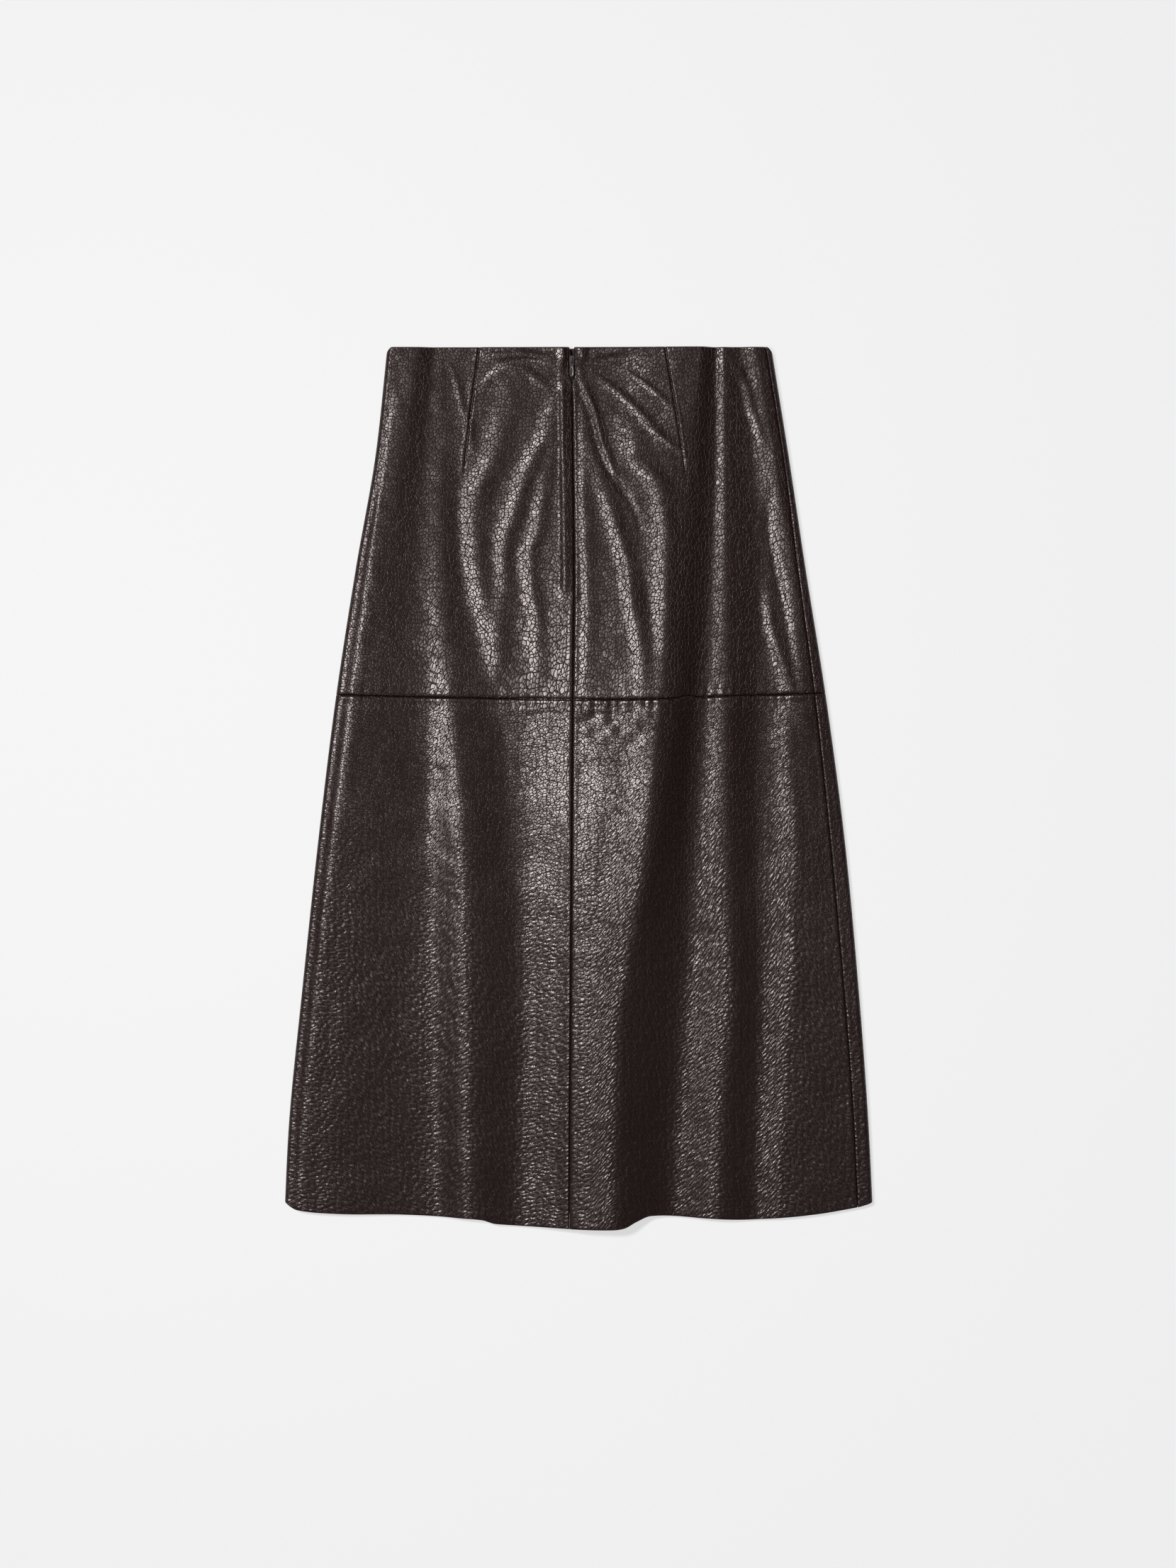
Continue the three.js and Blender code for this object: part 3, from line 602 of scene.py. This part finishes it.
# %% [markdown]
# ## The grain follows the hide
# On the real skirt the grain is round where the leather lies easy and drawn out on the flanks of the
# folds, in arcs over each crest. A UV map does this: across, it is the unrolled leather, and down, it is
# shifted by a wave with a peak at each crest. A round pattern read through it leans the same way.


# %% The lean of the grain
GRAIN_WAYS = [0.6, -0.3, -0.9, 1, -1, 0.25, 0.45, 1, -1, 1, -1, 1, -0.7]


def grain_lean(x, below):
    """A zigzag across the folds, rounded at each line: up to every crest, down to every valley."""
    lines = fold_lines(below)
    strength = 0.35 + 0.85 * ease(below, 230, 470)
    values = [0 * below]
    for a, b, way in zip(lines[:-1], lines[1:], GRAIN_WAYS):
        values.append(values[-1] + way * strength * (b - a))
    return between_lines(x, lines, values)


def grain_map(q, below, unrolled):
    """The UV map, ten millimetres to a unit."""
    x = ring_place(q, below)[0]
    lean = grain_lean(np.clip(x, line("left_edge", below) + ROLL, line("right_edge", below) - ROLL), below)
    drawn_out = below + 0.7 * np.maximum(below - 330, 0)
    return np.stack([unrolled, Y_WAIST - drawn_out - lean], axis=-1) / 10


# %% Putting a piece's grid into a mesh
def shell_mesh(name, outer, inner, uv, finishes):
    """A closed mesh from a shell's two faces, which share their rim; the second finish is inside."""
    m, n = outer.shape[:2]
    number = np.arange(m * n).reshape(m, n)
    rim = np.ones((m, n), bool)
    rim[1:-1, 1:-1] = False
    inner_number = np.where(rim, number, 0)
    inner_number[~rim] = m * n + np.arange((~rim).sum())
    points = np.concatenate([outer.reshape(-1, 3), inner[~rim]])
    point_uv = np.concatenate([uv.reshape(-1, 2), uv[~rim]])
    faces = np.concatenate([quads(number, False), quads(inner_number, True)])
    return mesh_piece(name, points, faces, point_uv, finishes, len(faces) // 2)


def quads(numbers, flip):
    """The four corners of each cell of a grid of point numbers."""
    a, b, c, d = numbers[:-1, :-1], numbers[1:, :-1], numbers[1:, 1:], numbers[:-1, 1:]
    return np.stack([a, d, c, b] if flip else [a, b, c, d], axis=-1).reshape(-1, 4)


def leather_piece(name, stops, top_edge, bottom_edge, rows, radii, finishes):
    """A closed shell from the grid, with its UV map; the first finish is outside, the second inside."""
    q, below = piece_grid(stops, top_edge, bottom_edge, rows)
    x, z, unrolled = ring_place(q, below)
    outer, inner = shell_points(np.stack([x, Y_WAIST - below, z], axis=-1), radii)
    return shell_mesh(name, outer, inner, grain_map(q, below, unrolled), finishes)


def mesh_piece(name, points, faces, point_uv, finishes, outer_faces):
    """A smooth mesh object from points and four-sided faces; faces past outer_faces get the second finish."""
    mesh = bpy.data.meshes.new(name)
    mesh.vertices.add(len(points))
    mesh.vertices.foreach_set("co", points.astype(np.float32).ravel())
    mesh.loops.add(faces.size)
    mesh.loops.foreach_set("vertex_index", faces.astype(np.int32).ravel())
    mesh.polygons.add(len(faces))
    mesh.polygons.foreach_set("loop_start", np.arange(0, faces.size, 4, dtype=np.int32))
    for finish in finishes:
        mesh.materials.append(finish)
    if len(finishes) > 1:
        inside = (np.arange(len(faces)) >= outer_faces).astype(np.int32)
        mesh.polygons.foreach_set("material_index", inside)
    if point_uv is not None:
        layer = mesh.uv_layers.new(name="grain")
        layer.data.foreach_set("uv", point_uv[faces.ravel()].astype(np.float32).ravel())
    mesh.update(calc_edges=True)
    mesh.validate()
    mesh.shade_smooth()
    made = bpy.data.objects.new(name, mesh)
    bpy.context.scene.collection.objects.link(made)
    print(name, len(faces) * 2, "triangles")
    return made


# %% [markdown]
# ## The leather's finish
# Full-grain leather with a light wax finish: dark brown, with pebbles of about 3 mm that shine on their
# tops. The pebbles are Voronoi cells whose borders sink, each leans a little its own way, and cells of
# 9 mm crack them further. Towards the hem the hide was looser, so the grain turns there into long, raised
# strokes. It drives the bump, the roughness and a little of the colour. The pits stay matt, and their
# darker brown is painted shade in the grain's hollows.


# %% The grain as nodes in the material
def borders(tree, place, scale):
    """The distance from the borders of Voronoi cells, 0 on them."""
    return add(tree, "ShaderNodeTexVoronoi", {"Vector": place, "Scale": scale, "Randomness": 0.95},
               voronoi_dimensions="2D", feature="DISTANCE_TO_EDGE").outputs["Distance"]


def rise(tree, value, width):
    """An S from 0 to 1 over a width."""
    return add(tree, "ShaderNodeMapRange", {"Value": value, "From Min": 0.0, "From Max": width, "To Min": 0.0,
               "To Max": 1.0}, interpolation_type="SMOOTHSTEP").outputs["Result"]


def plus(tree, value, times, rest):
    """value * times + rest, as one node."""
    return add(tree, "ShaderNodeMath", {0: value, 1: times, 2: rest}, operation="MULTIPLY_ADD").outputs[0]


def leather_finish(name, colour, dark, top_rough, pit_rough, depth):
    """Grained leather: low domes, each leaning its own way, between sunk lines; long strokes near the hem."""
    finish, tree, shader = new_finish(name)
    place = add(tree, "ShaderNodeUVMap", uv_map="grain").outputs["UV"]
    drift = add(tree, "ShaderNodeTexNoise", {"Vector": place, "Scale": 2.2, "Detail": 2.0},
                noise_dimensions="2D").outputs["Color"]
    drift = add(tree, "ShaderNodeVectorMath", {0: drift, 1: (0.22, 0.22, 0)}, operation="MULTIPLY").outputs[0]
    moved = add(tree, "ShaderNodeVectorMath", {0: place, 1: drift}, operation="ADD").outputs[0]
    small, large, long = (borders(tree, moved, scale) for scale in (PEBBLES, CREASED, STROKES))
    pebbles, creased = rise(tree, small, 0.12), rise(tree, large, 0.05)
    domes = rise(tree, small, 0.5)
    cell = add(tree, "ShaderNodeTexVoronoi", {"Vector": moved, "Scale": PEBBLES, "Randomness": 0.95},
               voronoi_dimensions="2D", feature="F1")
    from_middle = add(tree, "ShaderNodeVectorMath", {0: moved, 1: cell.outputs["Position"]},
                      operation="SUBTRACT").outputs[0]
    own_lean = add(tree, "ShaderNodeVectorMath", {0: cell.outputs["Color"], 1: (0.5, 0.5, 0.5)},
                   operation="SUBTRACT").outputs[0]
    lean = add(tree, "ShaderNodeVectorMath", {0: from_middle, 1: own_lean},
               operation="DOT_PRODUCT").outputs["Value"]
    slow = add(tree, "ShaderNodeTexNoise", {"Vector": place, "Scale": 1.5, "Detail": 2.0, "Roughness": 0.5},
               noise_dimensions="2D").outputs["Fac"]
    down = add(tree, "ShaderNodeSeparateXYZ", {0: place}).outputs[1]
    coarse = add(tree, "ShaderNodeMapRange",
                 {"Value": down, "From Min": 2.0, "From Max": -30.0}).outputs["Result"]
    fine = plus(tree, pebbles, 1.5, plus(tree, domes, 0.25, plus(tree, lean, 4.0, 0.0)))
    drawn = plus(tree, rise(tree, long, 0.45), 2.5, plus(tree, pebbles, 0.5, plus(tree, lean, 0.6, 0.0)))
    grain = add(tree, "ShaderNodeMix", {0: coarse, 2: fine, 3: drawn}, data_type="FLOAT").outputs[0]
    relief = plus(tree, creased, 1.2, plus(tree, slow, 0.9, grain))
    bump = add(tree, "ShaderNodeBump", {"Height": relief, "Strength": 1.0, "Distance": depth})
    tree.links.new(bump.outputs["Normal"], shader.inputs["Normal"])
    # The pebble tops get the brown and the sunk lines between them a darker brown: painted shade in the
    # grain's hollows.
    tops = add(tree, "ShaderNodeMath", {0: pebbles, 1: creased},
               operation="MULTIPLY", use_clamp=True).outputs[0]
    mix = add(tree, "ShaderNodeMix", data_type="RGBA")
    tree.links.new(tops, mix.inputs[0])
    mix.inputs[6].default_value, mix.inputs[7].default_value = (*dark, 1), (*colour, 1)
    tree.links.new(mix.outputs[2], shader.inputs["Base Color"])
    shine = add(tree, "ShaderNodeMapRange", {"Value": tops, "To Min": pit_rough, "To Max": top_rough})
    tree.links.new(plus(tree, coarse, 0.05, shine.outputs["Result"]), shader.inputs["Roughness"])
    shader.inputs["Specular IOR Level"].default_value = 0.5
    shader.inputs["Specular Tint"].default_value = (1.0, 0.89, 0.855, 1)
    return finish


PEBBLES, CREASED, STROKES = 3.2, 1.1, 1.6
# The second brown is painted shade: the grain's pits are coloured darker than the tops.
BROWN, PIT_SHADE_BROWN = (0.0104, 0.0032, 0.0029), (0.0046, 0.0014, 0.0013)
leather = leather_finish("grained leather", BROWN, PIT_SHADE_BROWN, 0.28, 0.75, 0.12 * MM)
print("leather", leather.name)

# %% [markdown]
# The back of the hide is left as suede: matt, a little lighter, with a fine nap.


# %% The suede side
def suede_finish(name, light, dark):
    """Matt brown nap: fine noise in colour and bump."""
    finish, tree, shader = new_finish(name)
    place = add(tree, "ShaderNodeUVMap", uv_map="grain").outputs["UV"]
    nap = add(tree, "ShaderNodeTexNoise", {"Vector": place, "Scale": 9.0, "Detail": 5.0,
              "Roughness": 0.7}, noise_dimensions="2D")
    mix = add(tree, "ShaderNodeMix", {0: nap.outputs["Fac"]}, data_type="RGBA")
    mix.inputs[6].default_value, mix.inputs[7].default_value = (*dark, 1), (*light, 1)
    tree.links.new(mix.outputs[2], shader.inputs["Base Color"])
    bump = add(tree, "ShaderNodeBump", {"Height": nap.outputs["Fac"], "Strength": 0.6, "Distance": 0.0003})
    tree.links.new(bump.outputs["Normal"], shader.inputs["Normal"])
    shader.inputs["Roughness"].default_value = 0.95
    shader.inputs["Specular IOR Level"].default_value = 0.15
    return finish


suede = suede_finish("suede inside", (0.055, 0.036, 0.030), (0.026, 0.016, 0.013))
print("suede", suede.name)

# %% [markdown]
# ## The six pieces of leather
# The back is cut in two halves, each with a hip section and a lower section. The left ones wrap round
# the left edge to a side seam underneath. The front wraps round the right edge to the side seam that
# shows. The grid is closer beside seams, darts and edges, where the leather turns most.


# %% Stops across the back
SHORT_OF_ROLL = 4.8


def fixed(q):
    """A stop at one ring coordinate."""
    return lambda below: q + 0 * below


def beside(name, offset):
    """A stop at a distance in millimetres from a long line, kept short of the right roll at 5."""
    return lambda below: np.minimum(q_across(line(name, below) + offset, below), SHORT_OF_ROLL)


def slit_side(side, offset):
    """A stop at a distance from the centre back's edge, which opens into the slit at the top."""
    return lambda below: q_across(line("centre_back", below) + side * (
        np.interp(below, SLIT_BELOW, SLIT_HALF) + offset), below)


def under_end(offset):
    """A stop near the left side seam underneath, from the front's side."""
    return lambda below: 7 - offset / (line("right_edge", below) - line("left_edge", below) - 13.5)


RIM_IN, RIM_OUT = RIM, 1 - RIM[:0:-1]
FROM_DART = np.array([0, 0.1, 0.22, 0.36, 0.52, 0.75])
TO_DART = np.array([0, 0.25, 0.48, 0.64, 0.78, 0.9])


def left_stops(fine):
    """Columns of a left back piece."""
    return [
        (fixed(0), RIM_IN), (fixed(0.45), even(3)), (fixed(1), even(16)), (fixed(2), even(int(46 * fine))),
        (beside("left_dart", -4), TO_DART), (beside("left_dart", 0), FROM_DART),
        (beside("left_dart", 4), even(int(52 * fine))),
        (slit_side(-1, RIM_WIDTH), RIM_OUT), (slit_side(-1, 0), np.array([0.0])),
    ]


def right_stops(fine):
    """Columns of a right back piece."""
    return [
        (slit_side(1, 0), RIM_IN), (slit_side(1, RIM_WIDTH), even(int(56 * fine))),
        (beside("right_dart", -4), TO_DART), (beside("right_dart", 0), FROM_DART),
        (beside("right_dart", 4), even(int(58 * fine))),
        (beside("right_side_seam", -RIM_WIDTH), RIM_OUT), (beside("right_side_seam", 0), np.array([0.0])),
    ]


FRONT_STOPS = [
    (beside("right_side_seam", 0), RIM_IN), (beside("right_side_seam", RIM_WIDTH), even(6)),
    (fixed(5), even(16)), (fixed(6), even(80)),
    (under_end(RIM_WIDTH), RIM_OUT), (under_end(0), np.array([0.0])),
]


# %% Rows down each section
def rows_between(length, count):
    """Shares from the top edge to the bottom edge, closer within the rims."""
    near = RIM * RIM_WIDTH / length
    middle = RIM_WIDTH / length + (1 - 2 * RIM_WIDTH / length) * even(count)
    return np.concatenate([near, middle, 1 - near[::-1]])


HIP_ROWS, LOWER_ROWS = rows_between(318, 185), rows_between(475, 225)

# %% Making them
FREE, SEWN = 1.6, 0.8
hip_left = leather_piece("hip_left", left_stops(1.25), waist_below, seam_below, HIP_ROWS,
                         (FREE, SEWN, SEWN, SEWN), [leather, suede])
hip_right = leather_piece("hip_right", right_stops(1.25), waist_below, seam_below, HIP_ROWS,
                          (FREE, SEWN, SEWN, SEWN), [leather, suede])
lower_left = leather_piece("lower_left", left_stops(1.2), seam_below, hem_below, LOWER_ROWS,
                           (SEWN, FREE, SEWN, SEWN), [leather, suede])
lower_right = leather_piece("lower_right", right_stops(1.2), seam_below, hem_below, LOWER_ROWS,
                            (SEWN, FREE, SEWN, SEWN), [leather, suede])
hip_front = leather_piece("hip_front", FRONT_STOPS, waist_below, seam_below, HIP_ROWS,
                          (FREE, SEWN, SEWN, SEWN), [leather, suede])
lower_front = leather_piece("lower_front", FRONT_STOPS, seam_below, hem_below, LOWER_ROWS,
                            (SEWN, FREE, SEWN, SEWN), [leather, suede])

# %% [markdown]
# ## Each piece on the skirt
# Each piece hangs on the skirt's body, and the CAD solid that it stands for is hidden.


# %% Attaching the pieces
def declare_cut(piece, stops, top_edge, bottom_edge, node):
    """Works out the piece's grid, hangs the piece on the skirt's body and hides the CAD node that it stands
    for.
    """
    rows = np.linspace(0, 1, 40)
    q, below = piece_grid(stops, top_edge, bottom_edge, rows)
    x, z, unrolled = ring_place(q, below)
    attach(piece, "skirt")
    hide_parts(node)


for piece, stops, top_edge, bottom_edge, node, slot_name in (
        (hip_left, left_stops(1), waist_below, seam_below, "back_hip_left", "leather_back"),
        (hip_right, right_stops(1), waist_below, seam_below, "back_hip_right", "leather_back"),
        (lower_left, left_stops(1), seam_below, hem_below, "back_lower_left", "leather_back"),
        (lower_right, right_stops(1), seam_below, hem_below, "back_lower_right", "leather_back"),
        (hip_front, FRONT_STOPS, waist_below, seam_below, "front_hip", "leather_front"),
        (lower_front, FRONT_STOPS, seam_below, hem_below, "front_lower", "leather_front")):
    declare_cut(piece, stops, top_edge, bottom_edge, node)

# %% [markdown]
# ## The zip's tapes
# A concealed zip hangs behind the leather on two woven tapes. Each is a thin strip that follows the
# long folds, a little way behind the leather, up to the waist edge. They open round the slider.

# %% The cloth of the tapes
tape_cloth, tree, shader = new_finish("zip tape")
place = add(tree, "ShaderNodeTexCoord").outputs["Object"]
weave = add(tree, "ShaderNodeTexWave", {"Vector": place, "Scale": 900.0, "Distortion": 1.5, "Detail": 1.0},
            wave_type="BANDS", bands_direction="DIAGONAL")
mix = add(tree, "ShaderNodeMix", {0: weave.outputs["Fac"]}, data_type="RGBA")
mix.inputs[6].default_value = (0.0040, 0.0022, 0.0022, 1)
mix.inputs[7].default_value = (0.010, 0.0055, 0.0052, 1)
tree.links.new(mix.outputs[2], shader.inputs["Base Color"])
bump = add(tree, "ShaderNodeBump", {"Height": weave.outputs["Fac"], "Strength": 0.8, "Distance": 0.0002})
tree.links.new(bump.outputs["Normal"], shader.inputs["Normal"])
shader.inputs["Roughness"].default_value = 0.85
print("tape", tape_cloth.name)

# %% The two tapes
TAPE_WALL, TAPE_WIDTH, TAPE_START, TAPE_END = 0.8, 13, 0.1, 240
TAPE_OPENING = {"below": [0, 8, 17, 21], "half": [2.2, 1.0, 1.0, 0.15]}


def tape_depth(below):
    """How far the middle of a tape lies behind the leather's face: deeper where seams sink the leather."""
    return 2.3 + 0.7 * ease(below, 36, 60)


def tape(name, side):
    """A strip from the teeth out to its selvedge, as a closed shell."""
    below = np.linspace(TAPE_START, TAPE_END, 180)[:, None] + np.zeros((1, 16))
    share = np.concatenate([[0, 0.01, 0.03, 0.06], np.linspace(0.1, 0.9, 8), [0.94, 0.97, 0.99, 1]])
    near = np.interp(below, TAPE_OPENING["below"], TAPE_OPENING["half"])
    beside = near + (TAPE_WIDTH - near) * (share if side > 0 else share[::-1])
    x = line("centre_back", below) + side * beside
    face = np.stack([x, Y_WAIST - below, level_height(x, below)], axis=-1)
    outer, inner = shell_points(face, (0.4, 0.4, 0.4, 0.4), tape_depth(below), TAPE_WALL)
    return shell_mesh(name, outer, inner, np.stack([x, below], axis=-1) / 10, [tape_cloth])


tape_left, tape_right = tape("tape_left", -1), tape("tape_right", 1)
for piece, node in ((tape_left, "zip_tape_left"), (tape_right, "zip_tape_right")):
    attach(piece, "skirt")
    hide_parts(node)

# %% [markdown]
# ## The teeth
# The teeth of a concealed zip are a nylon coil, sewn along each tape's inner edge. Each turn is a small
# flat ring round that edge, 0.9 mm from the next, and the two sides lie half a step apart, so they mesh.

# %% The lacquer of the zip and the nylon of its teeth
def fittings_finish(name, spots, detail, dark, light, roughness):
    """A smooth finish whose colour drifts between two browns in small spots."""
    finish, tree, shader = new_finish(name)
    place = add(tree, "ShaderNodeTexCoord").outputs["Object"]
    wear = add(tree, "ShaderNodeTexNoise", {"Vector": place, "Scale": spots, "Detail": detail})
    mix = add(tree, "ShaderNodeMix", {0: wear.outputs["Fac"]}, data_type="RGBA")
    mix.inputs[6].default_value, mix.inputs[7].default_value = (*dark, 1), (*light, 1)
    tree.links.new(mix.outputs[2], shader.inputs["Base Color"])
    shader.inputs["Roughness"].default_value = roughness
    return finish


lacquer = fittings_finish("zip lacquer", 700.0, 3.0, (0.022, 0.014, 0.013), (0.045, 0.031, 0.029), 0.3)
nylon = fittings_finish("nylon teeth", 900.0, 2.0, (0.008, 0.005, 0.005), (0.014, 0.009, 0.009), 0.35)
print("zip finishes", lacquer.name, nylon.name)

# %% The two rows of teeth
TOOTH = {"pitch": 0.9, "reach": 0.65, "rise": 0.5, "wire": 0.15, "first": 1.6, "last": 236}
ROUND_TOOTH, ROUND_WIRE = 14, 6


def teeth(name, side):
    """Rings round a tape's edge; each is a circle of wire swept round an ellipse across the zip."""
    below = np.arange(TOOTH["first"] + (TOOTH["pitch"] / 2 if side > 0 else 0), TOOTH["last"], TOOTH["pitch"])
    half = np.interp(below, TAPE_OPENING["below"], TAPE_OPENING["half"])
    centre = np.stack([line("centre_back", below) + side * (half + 0.35), Y_WAIST - below], axis=-1)
    height = level_height(centre[:, 0], below) - tape_depth(below)
    turn, wire = np.meshgrid(np.arange(ROUND_TOOTH) * 2 * np.pi / ROUND_TOOTH,
                             np.arange(ROUND_WIRE) * 2 * np.pi / ROUND_WIRE, indexing="ij")
    out = 1 + TOOTH["wire"] * np.cos(wire)[None] / np.array(
        [TOOTH["reach"], TOOTH["rise"]])[:, None, None]
    ring_x, ring_z = TOOTH["reach"] * np.cos(turn) * out[0], TOOTH["rise"] * np.sin(turn) * out[1]
    ring_y = TOOTH["wire"] * np.sin(wire)
    points = np.stack([centre[:, 0, None, None] + ring_x, centre[:, 1, None, None] + ring_y,
                       height[:, None, None] + ring_z], axis=-1)
    number = np.arange(ROUND_TOOTH * ROUND_WIRE).reshape(ROUND_TOOTH, ROUND_WIRE)
    after, beside_it = np.roll(number, -1, axis=0), np.roll(number, -1, axis=1)
    one = np.stack([number, after, np.roll(after, -1, axis=1), beside_it], axis=-1).reshape(-1, 4)
    faces = (one[None] + number.size * np.arange(len(below))[:, None, None]).reshape(-1, 4)
    print(name, len(below), "teeth")
    return mesh_piece(name, points.reshape(-1, 3) * MM, faces, None, [nylon], len(faces))


for piece in (teeth("teeth_left", -1), teeth("teeth_right", 1)):
    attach(piece, "skirt")

# %% [markdown]
# ## The slider and its pull
# Both are die-cast and lacquered in the leather's brown. Their CAD shapes are right, so they stay and get
# their lacquer.

# %% The lacquer on the fittings
for node_name in ("zip_slider", "zip_pull"):
    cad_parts[node_name].data.materials.clear()
    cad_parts[node_name].data.materials.append(lacquer)
print("lacquered", lacquer.name)

# %% [markdown]
# The pull is a flat drop in CAD, but a cast one has a raised rim and a dished middle, which catch the light.
# They lie on it as one thin cap: rings of the same drop outline, each drawn in towards the middle.

# %% The pull's raised rim
PULL_TOP = {"below": 12.5, "height": ZIP_LEVEL["height"] + 0.9 + 0.5}
RIM_RINGS = [(0.02, -0.05), (0.96, -0.05), (1.0, 0.08), (0.97, 0.24), (0.90, 0.36), (0.80, 0.36),
             (0.68, 0.16), (0.45, 0.07), (0.02, 0.05)]
RIM_STEPS, DROP_MIDDLE, DROP_HALF_LENGTH, DROP_HALF_WIDTH = 56, 9.7, 5.2, 2.02


def pull_rim(name):
    """Rings of one drop outline, each drawn in towards the middle by its share, at its own height."""
    turn = np.arange(RIM_STEPS) * 2 * np.pi / RIM_STEPS
    down = DROP_MIDDLE - DROP_HALF_LENGTH * np.cos(turn)
    wide = DROP_HALF_WIDTH * (0.72 + 0.28 * ease(down, 4.4, 10.4))
    outline = np.stack([wide * np.sin(turn), down], axis=-1)
    share, rise_to = np.array(RIM_RINGS).T
    middle = np.array([0.0, 10.2])
    rings = middle + share[:, None, None] * (outline - middle)
    x = line("centre_back", PULL_TOP["below"]) + rings[..., 0]
    y = Y_WAIST - PULL_TOP["below"] - rings[..., 1]
    z = PULL_TOP["height"] + rise_to[:, None] + 0 * x
    points = np.stack([x, y, z], axis=-1).reshape(-1, 3)
    number = np.arange(len(points)).reshape(len(RIM_RINGS), RIM_STEPS)
    faces = quads(np.concatenate([number, number[:, :1]], axis=1), True)
    return mesh_piece(name, points * MM, faces, None, [lacquer], len(faces))


rim_piece = pull_rim("pull_rim")
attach(rim_piece, "zip_pull")
